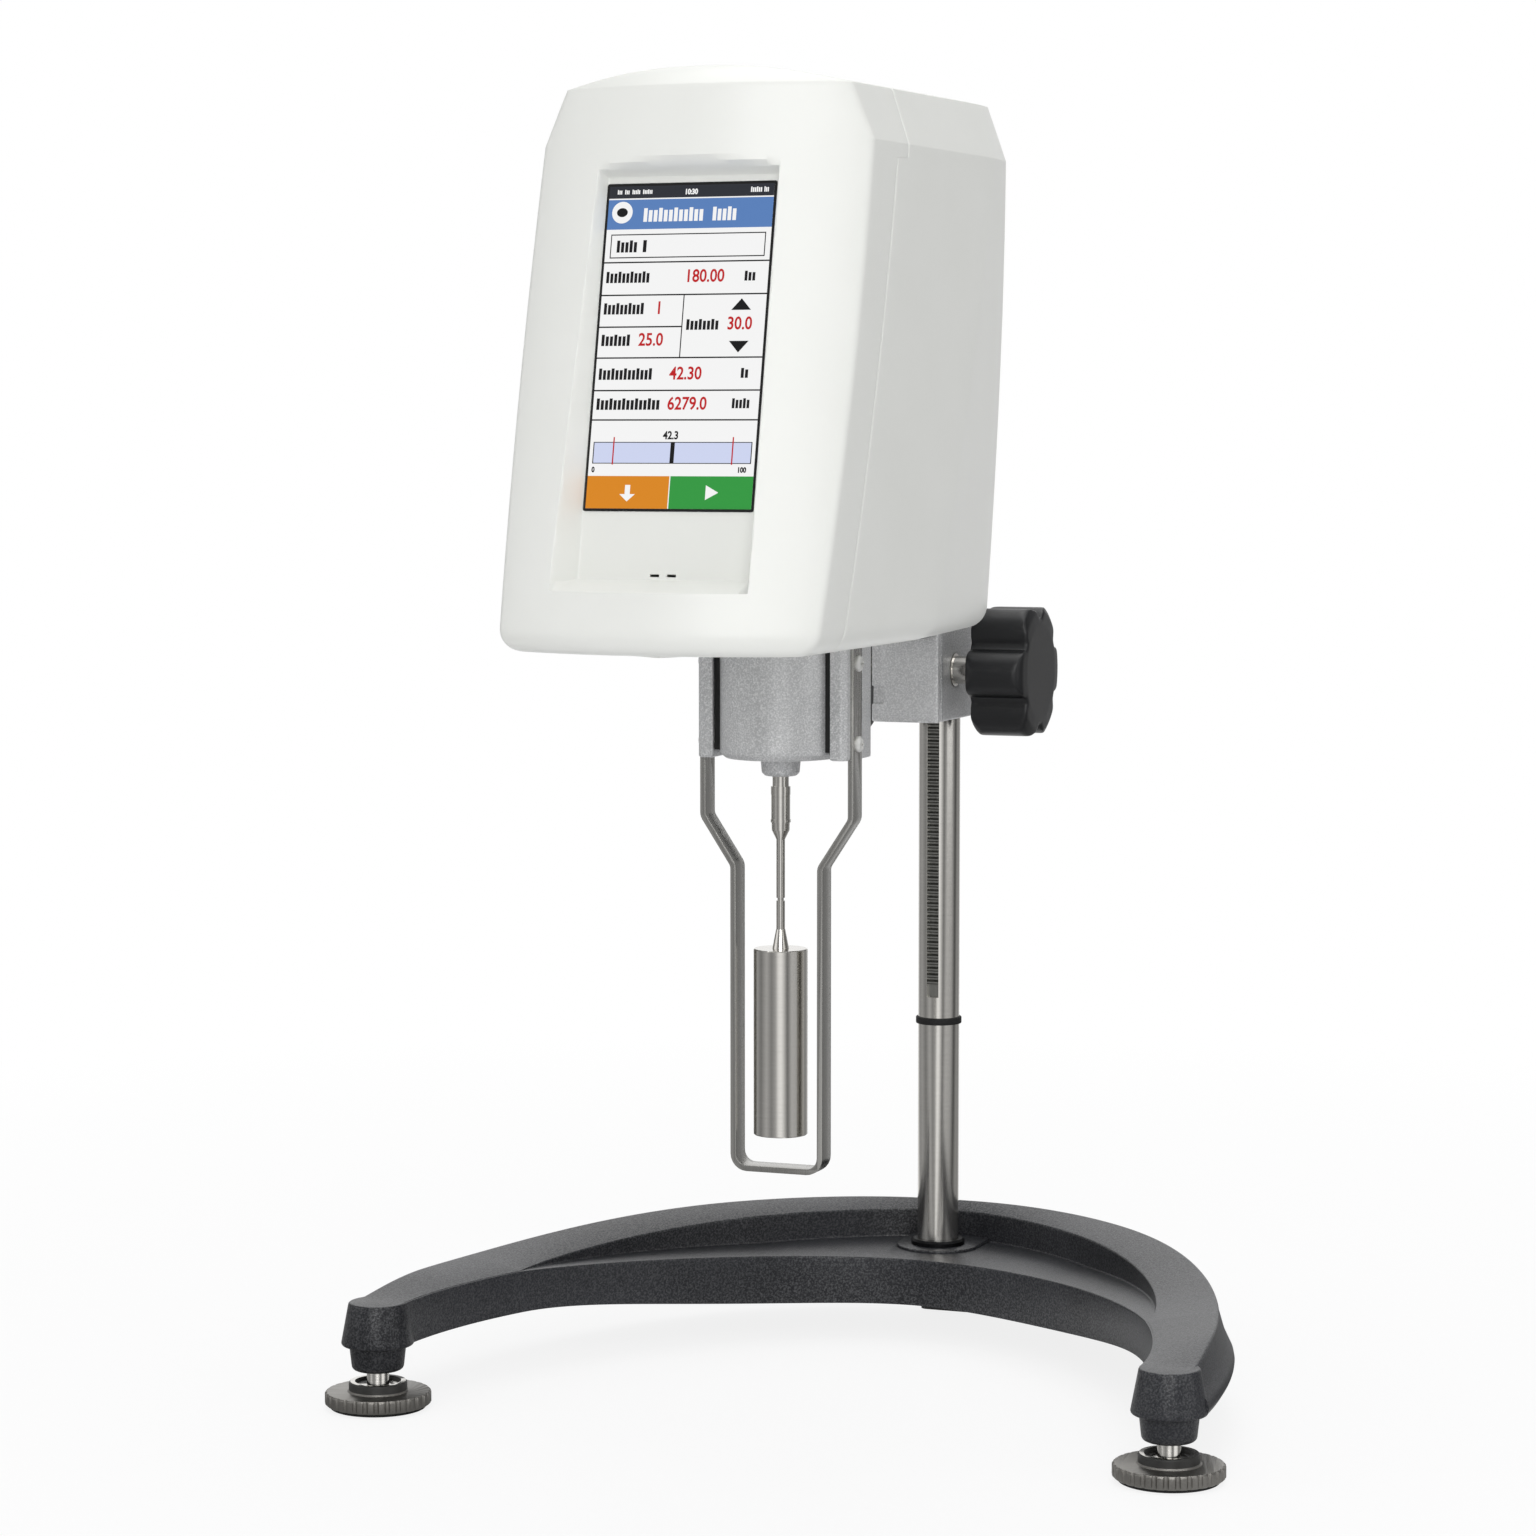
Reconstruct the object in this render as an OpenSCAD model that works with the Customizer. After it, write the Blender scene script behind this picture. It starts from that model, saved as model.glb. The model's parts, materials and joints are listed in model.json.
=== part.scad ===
// Rotational viscometer on a crescent levelling stand, with a rack-and-pinion lift.
// Millimetres. +Z is up, the screen faces -Y, and +X is to the right of someone facing the screen.

/* [Stand] */
// Half width of the crescent across the rim's top edge
stand_half_w = 154.5; // [145:0.5:165]
// Reach of the crescent's outer ellipse behind its centre
stand_reach = 236.5; // [228:0.5:245]
// Distance of the outer ellipse's centre in front of the spindle axis
stand_centre_front = 34; // [28:1:40]
// Half width of the open bay at its mouth
bay_half_w = 135.5; // [132:0.5:137]
// Reach of the bay behind the line through the front feet
bay_reach = 166; // [158:1:168]
// Fullness of the bay's curve, where 2 is an ellipse
bay_power = 1.75; // [1.65:0.05:1.9]
// How far the outer wall flares out at its foot
stand_flare = 7; // [4:0.5:9]
// Height of the rim's inner edge at the tips of the arms
tip_top = 38; // [36:0.5:42]
// Extra height of the rim at the back
rim_rise = 4; // [1:0.5:6]
// How much higher the rim's outer edge is than its inner edge
rim_tilt = 3.2; // [0:0.2:4]
// Width of the rim at the back
rim_w = 8; // [6:0.5:12]
// Height of the ledge inside the rim at the back
ledge_z = 31; // [29:0.5:33]
// Height of the underside at the back
under_back = 14; // [12:0.5:16]
// Height of the underside at the arms
under_arm = 22.5; // [20:0.5:25]

/* [Levelling feet] */
// Half distance between the two front feet
foot_x = 145.9; // [140:0.1:148]
// Distance of the front feet in front of the spindle axis
foot_front = 21.2; // [16:0.1:26]
// Radius of the knurled disc
disc_r = 19; // [16:0.5:22]
// Thickness of the knurled disc
disc_h = 4.6; // [4:0.1:7]
// Number of notches round the disc
disc_notches = 30; // [20:1:40]
// Radius of the threaded stud
stud_r = 4; // [3:0.5:5]
// Room for the stud above its rest height in the arm
stud_room = 1; // [0.5:0.1:2]
// Thickness of the rubber glide pad under each front foot
pad_h = 1.2; // [0.8:0.1:2]
// Half length of the fixed rubber foot under the back edge
rear_foot_half = 16; // [10:0.5:20]
// Width of the rear foot from front to back
rear_foot_w = 5.5; // [4:0.5:7]

/* [Column and rack] */
// Distance of the column behind the spindle axis
column_back = 175.6; // [172:0.1:178]
// Radius of the column
column_r = 8; // [7.5:0.1:9]
// Height of the column's top end
column_top = 402; // [396:1:420]
// Width of the inlaid rack
rack_w = 4.7; // [4:0.1:5.5]
// Height of the rack's lower end
rack_low = 130; // [120:1:140]
// Height of the rack's upper end
rack_high = 350; // [340:1:380]
// Module of the rack and pinion
gear_module = 0.8; // [0.8:0.2:1]
// Teeth on the pinion
pinion_teeth = 30; // [26:1:30]
// Height of the rubber stop ring on the column
ring_z = 120.5; // [110:0.5:124]

/* [Lift block] */
// Half width of the block
block_half_w = 12.5; // [12:0.1:14]
// Distance from the spindle axis to the block's front
block_front = 140.5; // [139:0.1:141]
// Distance from the spindle axis to the block's back
block_back = 190.5; // [189:0.1:194]
// Height of the block's underside
block_low = 238.8; // [236:0.1:241]
// Height of the block
block_h = 90; // [86:0.5:96]
// Height of the pinion shaft
shaft_z = 257.7; // [257:0.1:259]
// Radius of the pinion shaft
shaft_r = 5.3; // [4.5:0.1:5.5]
// Distance of each knob's inner face from the middle
knob_in = 24; // [23:0.1:27]
// Thickness of a knob
knob_h = 22.5; // [18:0.1:25]
// Distance from the knob's axis to the middle of each lobe
knob_lobe_at = 17.5; // [16:0.1:19]
// Radius of each lobe
knob_lobe_r = 8.8; // [8:0.1:10]
// Thickness of the black gasket between block and arm
gasket_h = 4; // [2:0.1:5]
// Half width of the arm's mounting plate
arm_half_w = 13.3; // [12.6:0.1:14]
// Thickness of the arm's mounting plate
arm_plate_h = 3.5; // [3:0.1:5]

/* [Head] */
// Height of the head's underside
head_low = 277; // [276:0.5:279]
// Height of the shoulder's lower edge
shoulder_low = 441; // [436:0.5:446]
// Height of the shoulder's upper edge
shoulder_high = 460; // [456:0.5:464]
// Height of the crown
head_top = 466.5; // [464:0.5:470]
// Largest half width of the head
head_half_w = 58.2; // [56:0.1:60]
// Half width at the shoulder's upper edge
crown_half_w = 50; // [47:0.5:52]
// Distance of the front face in front of the spindle axis at the screen's top
face_front = 91.5; // [89:0.5:95]
// Lean of the front face, as a slope
face_lean = 0.27; // [0.25:0.01:0.29]
// Radius of the front face's sideways bow
face_bow = 90; // [80:1:120]
// Distance of the back wall behind the spindle axis, low down
head_back = 107; // [104:0.5:110]
// Wall of the moulded covers
cover_wall = 3; // [2.5:0.1:3.5]

/* [Display] */
// Half width of the display glass
glass_half_w = 29.5; // [27:0.1:30]
// Length of the display glass
glass_len = 108; // [100:1:110]
// Lean of the display from upright, in degrees
glass_lean = 11.7; // [11:0.1:12.5]
// Distance of the glass's top edge in front of the spindle axis
glass_front = 81.6; // [80.5:0.1:82.5]
// Height of the glass's top edge
glass_top = 428; // [425:0.5:430]

/* [Pivot housing] */
// Radius of the round pivot housing
housing_r = 21; // [20:0.1:21.3]
// Height of the housing's underside
housing_low = 235.6; // [233:0.1:238]
// Half distance between the flanges' inner faces
wing_in = 21.5; // [21.4:0.1:22.5]
// Half distance between the flanges' outer faces
wing_out = 27.4; // [27:0.1:28.2]
// Width of the guard strip
strip_w = 9; // [8:0.1:10]
// Thickness of the guard strip
strip_t = 2; // [1.5:0.1:2.5]
// Half width of the guard between its upper legs, outside
guard_half_top = 28.2; // [27.8:0.1:29]
// Half width of the guard between its lower legs, outside
guard_half_low = 17; // [16:0.1:19]
// Height of the guard's lowest face
guard_low = 91; // [88:0.5:96]

/* [Spindle] */
// Radius of the spindle's cylinder
spindle_r = 9.42; // [6:0.01:10]
// Height of the cylinder's lower end
spindle_low = 104.1; // [100:0.1:110]
// Length of the cylinder
spindle_len = 65.1; // [50:0.1:66]
// Radius of the spindle's rod
rod_r = 1.5; // [1.2:0.05:2]

/* [Hidden] */

$fn = 64;
eps = 0.01;
big = 400;
// Clearance of a running fit, on the radius
run_gap = 0.05;

// ---- Stand: derived sizes
stand_steps = 44;
knee_share = 0.295;
wall_power = 1.65;
ledge_level_y = 157;
ledge_slope = 0.062;
tip_angle = asin((stand_centre_front - foot_front) / stand_reach);
tip_r = 13.2;
tip_top_r = 10.3;
boss_low = 13.5;
boss_r = 9.2;
boss_top_r = 10.2;
column_seat = 24;
column_pad_r = 16;
column_pad_top = ledge_z + 1.5;
collar_r = 10.4;
collar_h = 2.2;
bolt_r = 4;
bolt_head_h = 5;
stand_back = stand_reach - stand_centre_front;
rear_foot_back = stand_back + stand_flare - rear_foot_w / 2 - 3;
rear_peg_r = 2;
rear_peg_h = 6;

// ---- Feet: derived sizes
hub_r = disc_r * 0.55;
hub_h = 3.6;
pad_spigot_r = 2;
pad_spigot_h = 3;
stud_top = boss_low + 18;
notch_r = 1;

// ---- Gears: derived sizes
gear_pitch = PI * gear_module;
backlash = 0.12;
pressure = 20;
pinion_r = gear_module * pinion_teeth / 2;
rack_tip_y = column_back - column_r + 0.1;
rack_pitch_y = rack_tip_y + gear_module;
rack_depth = 4.6;
shaft_y = rack_pitch_y - pinion_r;
pinion_w = rack_w - 0.5;
rack_floor = rack_low + 3;

// ---- Lift block: derived sizes
block_top = block_low + block_h;
bush_wall = 2;
bush_len = 9;
bush_out_r = column_r + bush_wall;
shaft_bush_r = shaft_r + 1;
plate_back = block_front - gasket_h;
plate_front = plate_back - arm_plate_h;
knob_out = knob_in + knob_h;
shaft_half = knob_out - 8;
plug_x = block_half_w - 4;
plug_r = 2.5;
m5_r = 2.5;
m5_head_r = 4.25;
m5_head_h = 5;

// ---- Head: derived sizes
face_z = glass_top + 2;
head_round = 8;
widest_z = 395;
barrel = 0.00024;
head_back_z = 300;
head_back_lean = 0.12;
crease_top_y = 60;
crease_lean = 0.36;
side_taper = 0.14;
crown_round = 10;
top_rise = 0.02;
seam_y = -58.6;
seam_z = 390;
seam_lean = 0.287;
seam_jog = 10;
seam_gap = 0.15;
face_steps = 7;
deck_low = head_low + cover_wall + 1;
deck_h = 5;
deck_top = deck_low + deck_h;
arm_h = 26;
arm_w = 24;
arm_front = 52;
arm_screw_ys = [62, 80];
plate_screw_zs = [deck_low - 6, deck_top + arm_h + 8];

function clamp01(v) = min(1, max(0, v));
function smooth(v) = let (c = clamp01(v)) c * c * (3 - 2 * c);
function unit2(v) = v / norm(v);
function mix(a, b, t) = a + (b - a) * t;

// ---- Head outline: one ring of points for each height
function front_line(z) = -face_front + face_lean * (z - face_z);
function back_line(z) = head_back - head_back_lean * (z - head_back_z);
function crease_line(z) = crease_top_y - crease_lean * (shoulder_low - z);
function side_line(z) = head_half_w - barrel * pow(z - widest_z, 2);
function rise(y, z) = top_rise * (y - seam_y) * clamp01((z - widest_z) / (shoulder_high - widest_z));

// Points of an arc of the given radius that rounds the corner at q, between p and s
function corner(p, q, s, radius, steps) =
    let (a = unit2(p - q), b = unit2(s - q), half = acos(a * b) / 2,
        reach = min(radius / tan(half), 0.45 * norm(p - q), 0.45 * norm(s - q)),
        r = reach * tan(half), c = q + unit2(a + b) * r / sin(half),
        va = q + a * reach - c, vb = q + b * reach - c, turn = 180 - 2 * half)
    [for (i = [0:steps]) c + (va * sin(turn * (1 - i / steps)) + vb * sin(turn * i / steps)) / sin(turn)];

// Right half of a ring, from the middle of the front to the middle of the back
function half_ring(w, front, back, crease) =
    let (narrow = side_taper * max(0, back - crease) * w / head_half_w,
        side_front = [w, front + w * w / (2 * face_bow)],
        before = [w * 0.85, front + pow(w * 0.85, 2) / (2 * face_bow)],
        bend = [w, max(crease, side_front[1] + 20)],
        back_corner = [w - narrow, back],
        face_end = w * 0.92)
    concat(
        [for (i = [0:face_steps]) let (x = face_end * i / face_steps) [x, front + x * x / (2 * face_bow)]],
        corner(before, side_front, bend, min(5, w / 3), 3),
        corner(side_front, bend, back_corner, 60, 2),
        corner(bend, back_corner, [0, back + 1], min(9, w / 3), 4),
        [[0, back + 1]]);

function whole_ring(half) = concat(half, [for (i = [len(half) - 2:-1:1]) [-half[i][0], half[i][1]]]);

function head_ring(z, w, inset, wall) =
    [for (p = whole_ring(half_ring(w - inset - wall, front_line(z) + inset + wall,
        back_line(z) - inset - wall, crease_line(z)))) [p[0], p[1], z + rise(p[1], z)]];

body_steps = 7;
// Each level is [height, half width, inset of the rounded edges]
low_levels = [for (i = [0:3]) let (a = 90 * i / 4)
    [head_low + head_round * (1 - cos(a)), side_line(head_low + head_round), head_round * (1 - sin(a))]];
body_levels = [for (i = [0:body_steps]) let (z = mix(head_low + head_round, shoulder_low, i / body_steps))
    [z, side_line(z), 0]];
crown_shares = [1, 0.9, 0.74, 0.54, 0.3, 0.08];
crown_levels = [for (t = crown_shares) let (inset = crown_round * (1 - t))
    [head_top - (head_top - shoulder_high) * t * t, crown_half_w * t + inset, inset]];
head_levels = concat(low_levels, body_levels, crown_levels);
inner_levels = concat([[head_low + cover_wall, side_line(head_low + head_round), 1.5]],
    body_levels, [for (l = crown_levels) [l[0] - cover_wall, max(l[1], l[2] + cover_wall + 2), l[2]]]);

module loft(rings) {
    n = len(rings[0]);
    m = len(rings);
    polyhedron(points = [for (r = rings) each r], faces = concat(
        [for (j = [1:n - 2]) [0, j, j + 1]],
        [for (j = [1:n - 2]) let (o = (m - 1) * n) [o, o + j + 1, o + j]],
        [for (i = [0:m - 2], j = [0:n - 1]) let (k = (j + 1) % n, o = i * n) [o + j, o + n + j, o + n + k]],
        [for (i = [0:m - 2], j = [0:n - 1]) let (k = (j + 1) % n, o = i * n) [o + j, o + n + k, o + k]]));
}

module head_solid() {
    loft([for (l = head_levels) head_ring(l[0], l[1], l[2], 0)]);
}

module head_hollow() {
    loft([for (l = inner_levels) head_ring(l[0], l[1], l[2], cover_wall)]);
}

// Everything in front of the seam between the covers, less half the seam's gap
function seam_at(z) = seam_y + seam_lean * (z - seam_z);
module seam_side(gap, far) {
    step_z = shoulder_low - 4;
    low = head_low - 20;
    high = head_top + 20;
    rotate([90, 0, 90])
        translate([0, 0, -big / 2])
            linear_extrude(big)
                polygon([[far, low], [seam_at(low) + gap, low], [seam_at(step_z) + gap, step_z],
                    [seam_at(step_z) + gap + seam_jog, step_z],
                    [seam_at(high) + gap + seam_jog, high], [far, high]]);
}

// ---- The whole model stands with the middle of its footprint at the origin
head_front = min([for (l = head_levels) front_line(l[0]) + l[2]]);
origin_y = (stand_back + stand_flare + head_front) / 2;
module placed() {
    translate([0, -origin_y, 0])
        children();
}

// ---- Stand
function outer_at(a) = [stand_half_w * cos(a), stand_reach * sin(a) - stand_centre_front];
function outer_normal(a) = unit2([cos(a) / stand_half_w, sin(a) / stand_reach]);
function full_curve(w, reach, power, s) = [w * pow(cos(s), 2 / power), reach * pow(sin(s), 2 / power)];

// Edge of the bay and foot of the rim's inner wall, from a tip (0) to the back (1); they part at the knee
function bay_at(t) = full_curve(bay_half_w, bay_reach, bay_power, 90 * t) - [0, foot_front];
knee = bay_at(knee_share);
function wall_at(t) = [0, knee[1]] + full_curve(knee[0] + 0.8, stand_back - rim_w - knee[1], wall_power,
    90 * (t - knee_share) / (1 - knee_share));
function rim_z(y) = tip_top + rim_rise * smooth((y - 40) / 130);
function ledge_at(y) = min(rim_z(y) - 0.15, ledge_z + ledge_slope * max(0, ledge_level_y - y));
function under_z(y) = mix(under_back, under_arm, clamp01((140 - y) / 95));

// Cross-section of the crescent, inner bottom edge first
function stand_ring(t) =
    let (a = mix(tip_angle, 90, pow(t, 1.28)), i = bay_at(t), o = outer_at(a), n = outer_normal(a),
        u = unit2(o - i), w = t > knee_share ? wall_at(t) : i + u * 0.8, v = unit2(o - w),
        shelf = ledge_at(i[1]), foot = ledge_at(w[1]) + 0.02, top = rim_z(w[1]),
        brow = rim_z(o[1]) + rim_tilt * smooth(t / 0.2), low = under_z(o[1]),
        flare = stand_flare - 2 * (1 - sin(a)))
    [[i, under_z(i[1])], [i, shelf - 0.7], [i + u * 0.5, shelf], [w, foot],
        [w + v * 0.3, max(top - 0.6, foot + 0.05)], [w + v, top],
        [o - v * 1.6, brow], [o - v * 0.4, brow - 0.6],
        [o + n * 0.5, brow - 3], [o + n * flare * 0.45, mix(brow, low, 0.5)], [o + n * flare * 0.9, low + 5],
        [o + n * flare, low + 2], [o + n * (flare - 1.2), low]];
function stand_points(t) =
    [for (p = stand_ring(t)) [p[0][0], p[0][1], p[1]]];
function mirror_ring(r) = [for (p = r) [-p[0], p[1], p[2]]];

half_rings = [for (k = [0:stand_steps / 2]) stand_points(2 * k / stand_steps)];
stand_rings = concat(half_rings, [for (k = [len(half_rings) - 2:-1:0]) mirror_ring(half_rings[k])]);

module both_sides(x) {
    for (s = [-1, 1])
        translate([s * x, 0, 0])
            children();
}

module base_casting() {
    color("#3f4347")
        difference() {
            union() {
                loft(stand_rings);
                both_sides(foot_x)
                    translate([0, -foot_front, 0]) {
                        rotate_extrude()
                            polygon([[0, under_arm - 1], [tip_r - 0.8, under_arm], [tip_r, under_arm + 1],
                                [tip_top_r + 0.6, tip_top - 0.8], [tip_top_r, tip_top], [0, tip_top]]);
                        translate([0, 0, boss_low])
                            cylinder(h = under_arm - boss_low + 1, r1 = boss_r, r2 = boss_top_r);
                    }
                translate([0, column_back, under_back])
                    linear_extrude(column_pad_top - under_back) {
                        circle(column_pad_r);
                        translate([-column_pad_r, 0])
                            square([2 * column_pad_r, stand_back - column_back - rim_w / 2]);
                    }
            }
            both_sides(foot_x)
                translate([0, -foot_front, boss_low - eps])
                    cylinder(h = stud_top - boss_low + stud_room, r = stud_r + run_gap);
            translate([0, column_back, column_seat])
                cylinder(h = big, r = column_r + 0.02);
            translate([0, column_back, 0])
                cylinder(h = column_seat + eps, r = bolt_r + 0.2);
            translate([0, column_back, 0])
                cylinder(h = under_back + bolt_head_h + 1, r = bolt_r * 2.2);
            both_sides(rear_foot_half - 5)
                translate([0, rear_foot_back, 0])
                    cylinder(h = under_back + rear_peg_h + 0.5, r = rear_peg_r + 0.02);
        }
}

module column_bolt() {
    color("#8d8f92")
        translate([0, column_back, under_back + 1]) {
            cylinder(h = bolt_head_h, r = bolt_r * 1.75, $fn = 6);
            cylinder(h = column_seat + 20 - under_back, r = bolt_r);
        }
}

module rear_foot() {
    color("#1d1e20")
        translate([0, rear_foot_back, 0]) {
            linear_extrude(under_back) {
                both_sides(rear_foot_half - rear_foot_w / 2)
                    circle(rear_foot_w / 2);
                square([2 * rear_foot_half - rear_foot_w, rear_foot_w], center = true);
            }
            both_sides(rear_foot_half - 5)
                cylinder(h = under_back + rear_peg_h, r = rear_peg_r);
        }
}

module column() {
    color("#c9cbcc")
        difference() {
            translate([0, column_back, column_seat])
                rotate_extrude()
                    polygon([[0, 0], [column_r, 0], [column_r, column_top - column_seat - 1],
                        [column_r - 1, column_top - column_seat], [0, column_top - column_seat]]);
            translate([-rack_w / 2, column_back - column_r - 1, rack_low])
                cube([rack_w, rack_depth + 1.1, rack_high - rack_low]);
            translate([0, column_back, column_seat - eps])
                cylinder(h = 22, r = bolt_r + 0.02);
            translate([0, column_back, column_top - 14])
                cylinder(h = 20, r = bolt_r + 0.02);
        }
}

// Rack teeth point forward; a gap lies level with the pinion's axis
module gear_rack() {
    half_tooth = gear_pitch / 4 - backlash / 2;
    tip = half_tooth - gear_module * tan(pressure);
    root = half_tooth + 1.25 * gear_module * tan(pressure);
    first = ceil((rack_floor - shaft_z) / gear_pitch);
    last = floor((rack_high - 2 - shaft_z) / gear_pitch) - 1;
    back = rack_tip_y + rack_depth - 0.1;
    root_y = rack_pitch_y + 1.25 * gear_module;
    color("#a9abac")
        translate([-rack_w / 2 + 0.02, 0, 0])
            rotate([90, 0, 90])
                linear_extrude(rack_w - 0.04)
                    polygon(concat(
                        [[back, rack_low], [root_y, rack_low]],
                        [for (k = [first:last]) let (z = shaft_z + (k + 0.5) * gear_pitch)
                            each [[root_y, z - root],
                                 [rack_tip_y, z - tip], [rack_tip_y, z + tip], [root_y, z + root]]],
                        [[root_y, rack_high], [back, rack_high]]));
}

module stop_ring() {
    color("#161616")
        translate([0, column_back, ring_z])
            difference() {
                rotate_extrude()
                    translate([column_r + 1, 0])
                        circle(r = 1.3);
                translate([0, 0, -2])
                    cylinder(h = 4, r = column_r + 0.02);
            }
}

module column_collar() {
    color("#2c2f32")
        translate([0, column_back, column_pad_top])
            rotate_extrude()
                polygon([[column_r + 0.02, 0], [collar_r, 0],
                    [collar_r, collar_h - 0.8], [collar_r - 0.8, collar_h],
                    [column_r + 0.02, collar_h]]);
}

module column_top_stop() {
    color("#2c2f32")
        translate([0, column_back, column_top - 12]) {
            cylinder(h = 12, r = bolt_r);
            translate([0, 0, 12])
                rotate_extrude()
                    polygon([[0, 0], [column_r + 2, 0], [column_r + 2, 3], [column_r + 1, 4], [0, 4]]);
        }
}

module foot_pad(x) {
    color("#1d1e20")
        translate([x, -foot_front, 0]) {
            cylinder(h = pad_h, r = disc_r - 2);
            cylinder(h = pad_h + pad_spigot_h, r = pad_spigot_r);
        }
}

module foot_screw(x) {
    color("#6d6f72")
        translate([x, -foot_front, 0]) {
            difference() {
                translate([0, 0, pad_h])
                    rotate_extrude()
                        polygon([[0, run_gap], [disc_r - 2.4, run_gap], [disc_r - 2.4, 0], [disc_r - 0.6, 0],
                            [disc_r, 0.6], [disc_r, disc_h - 0.6], [disc_r - 0.6, disc_h],
                            [hub_r + 0.6, disc_h], [hub_r, disc_h + 0.6], [hub_r, disc_h + hub_h - 0.5],
                            [hub_r - 0.5, disc_h + hub_h], [hub_r - 2.2, disc_h + hub_h],
                            [hub_r - 2.8, disc_h + hub_h - 1.2], [0, disc_h + hub_h - 1.2]]);
                for (k = [0:disc_notches - 1])
                    rotate([0, 0, (k + 0.5) * 360 / disc_notches])
                        translate([disc_r + 0.1, 0, pad_h - 1])
                            cylinder(h = disc_h + 2, r = notch_r, $fn = 16);
                cylinder(h = pad_h + pad_spigot_h + run_gap, r = pad_spigot_r + run_gap);
            }
            translate([0, 0, pad_h + disc_h])
                cylinder(h = stud_top - pad_h - disc_h, r = stud_r);
        }
}

module left_foot_pad() { foot_pad(-foot_x); }
module left_foot_screw() { foot_screw(-foot_x); }
module right_foot_pad() { foot_pad(foot_x); }
module right_foot_screw() { foot_screw(foot_x); }

// ---- Lift
module at_shaft() {
    translate([0, shaft_y, shaft_z])
        rotate([0, 90, 0])
            children();
}

module plate_screw_places() {
    for (s = [-1, 1], z = plate_screw_zs)
        translate([s * (block_half_w - 4.5), 0, z])
            rotate([-90, 0, 0])
                children();
}

module lift_block() {
    color("#b4b6b9")
        difference() {
            translate([-block_half_w, block_front, block_low])
                cube([2 * block_half_w, block_back - block_front, block_h]);
            translate([0, column_back, block_low - 1])
                cylinder(h = block_h + 2, r = column_r + 0.6);
            for (z = [block_low - eps, block_top - bush_len])
                translate([0, column_back, z])
                    cylinder(h = bush_len + eps, r = bush_out_r);
            at_shaft()
                translate([0, 0, -pinion_w / 2 - 1])
                    cylinder(h = pinion_w + 2, r = pinion_r + gear_module + 0.5);
            translate([-pinion_w / 2 - 1, block_front - 1, shaft_z - pinion_r - gear_module - 0.5])
                cube([pinion_w + 2, shaft_y - block_front + 1, 2 * (pinion_r + gear_module + 0.5)]);
            at_shaft()
                translate([0, 0, -block_half_w - 1])
                    cylinder(h = 2 * block_half_w + 2, r = shaft_bush_r);
            translate([plug_x, shaft_y, block_low - 1])
                cylinder(h = shaft_z - block_low, r = plug_r);
            translate([0, block_front - 1, 0])
                plate_screw_places()
                    cylinder(h = 13, r = m5_r);
        }
}

module column_bushes() {
    color("#e9e6dc")
        for (z = [block_low, block_top - bush_len])
            translate([0, column_back, z])
                difference() {
                    cylinder(h = bush_len, r = bush_out_r);
                    translate([0, 0, -1])
                        cylinder(h = bush_len + 2, r = column_r + run_gap);
                    translate([-rack_w / 2 - 0.3, -bush_out_r - 1, -1])
                        cube([rack_w + 0.6, bush_out_r, bush_len + 2]);
                }
}

module shaft_bushes() {
    inner = pinion_w / 2 + 1;
    color("#9c9ea1")
        at_shaft()
            for (s = [0, 1])
                mirror([0, 0, s])
                    translate([0, 0, inner])
                        difference() {
                            cylinder(h = block_half_w - inner + 0.2, r = shaft_bush_r);
                            translate([0, 0, -1])
                                cylinder(h = block_half_w + 2, r = shaft_r + run_gap);
                            if (s == 0)
                                translate([0, 0, plug_x - inner])
                                    rotate([90, 0, 90])
                                        cylinder(h = 2 * shaft_bush_r, r = plug_r);
                        }
}

module tension_plug() {
    color("#e9e6dc")
        translate([plug_x, shaft_y, shaft_z - shaft_r - run_gap - 5])
            cylinder(h = 4.7, r = plug_r - 0.02);
}

module tension_screw() {
    top = shaft_z - shaft_r - run_gap - 5;
    color("#3a3c3f")
        translate([plug_x, shaft_y, block_low + 0.5])
            difference() {
                cylinder(h = top - block_low - 0.5, r = plug_r - 0.02);
                translate([0, 0, -1])
                    cylinder(h = 3, r = 1.4, $fn = 6);
            }
}

function involute(a) = tan(a) * 180 / PI - a;
module pinion_outline() {
    base_r = pinion_r * cos(pressure);
    tip_radius = pinion_r + gear_module;
    root_radius = pinion_r - 1.25 * gear_module;
    half_at_pitch = (gear_pitch / 2 - backlash) / pinion_r * 90 / PI;
    flank = [root_radius, for (k = [0:3]) mix(base_r + 0.02, tip_radius, k / 3)];
    half = function (r) half_at_pitch + involute(pressure) - (r > base_r ? involute(acos(base_r / r)) : 0);
    polygon([for (t = [0:pinion_teeth - 1]) let (mid = 90 + t * 360 / pinion_teeth)
        each concat(
            [for (r = flank) let (a = mid - half(r)) [r * cos(a), r * sin(a)]],
            [for (k = [len(flank) - 1:-1:0]) let (r = flank[k], a = mid + half(r))
                [r * cos(a), r * sin(a)]])]);
}

module pinion_shaft() {
    color("#c9cbcc")
        at_shaft() {
            translate([0, 0, -shaft_half])
                cylinder(h = 2 * shaft_half, r = shaft_r);
            translate([0, 0, -pinion_w / 2])
                linear_extrude(pinion_w)
                    pinion_outline();
        }
}

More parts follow.
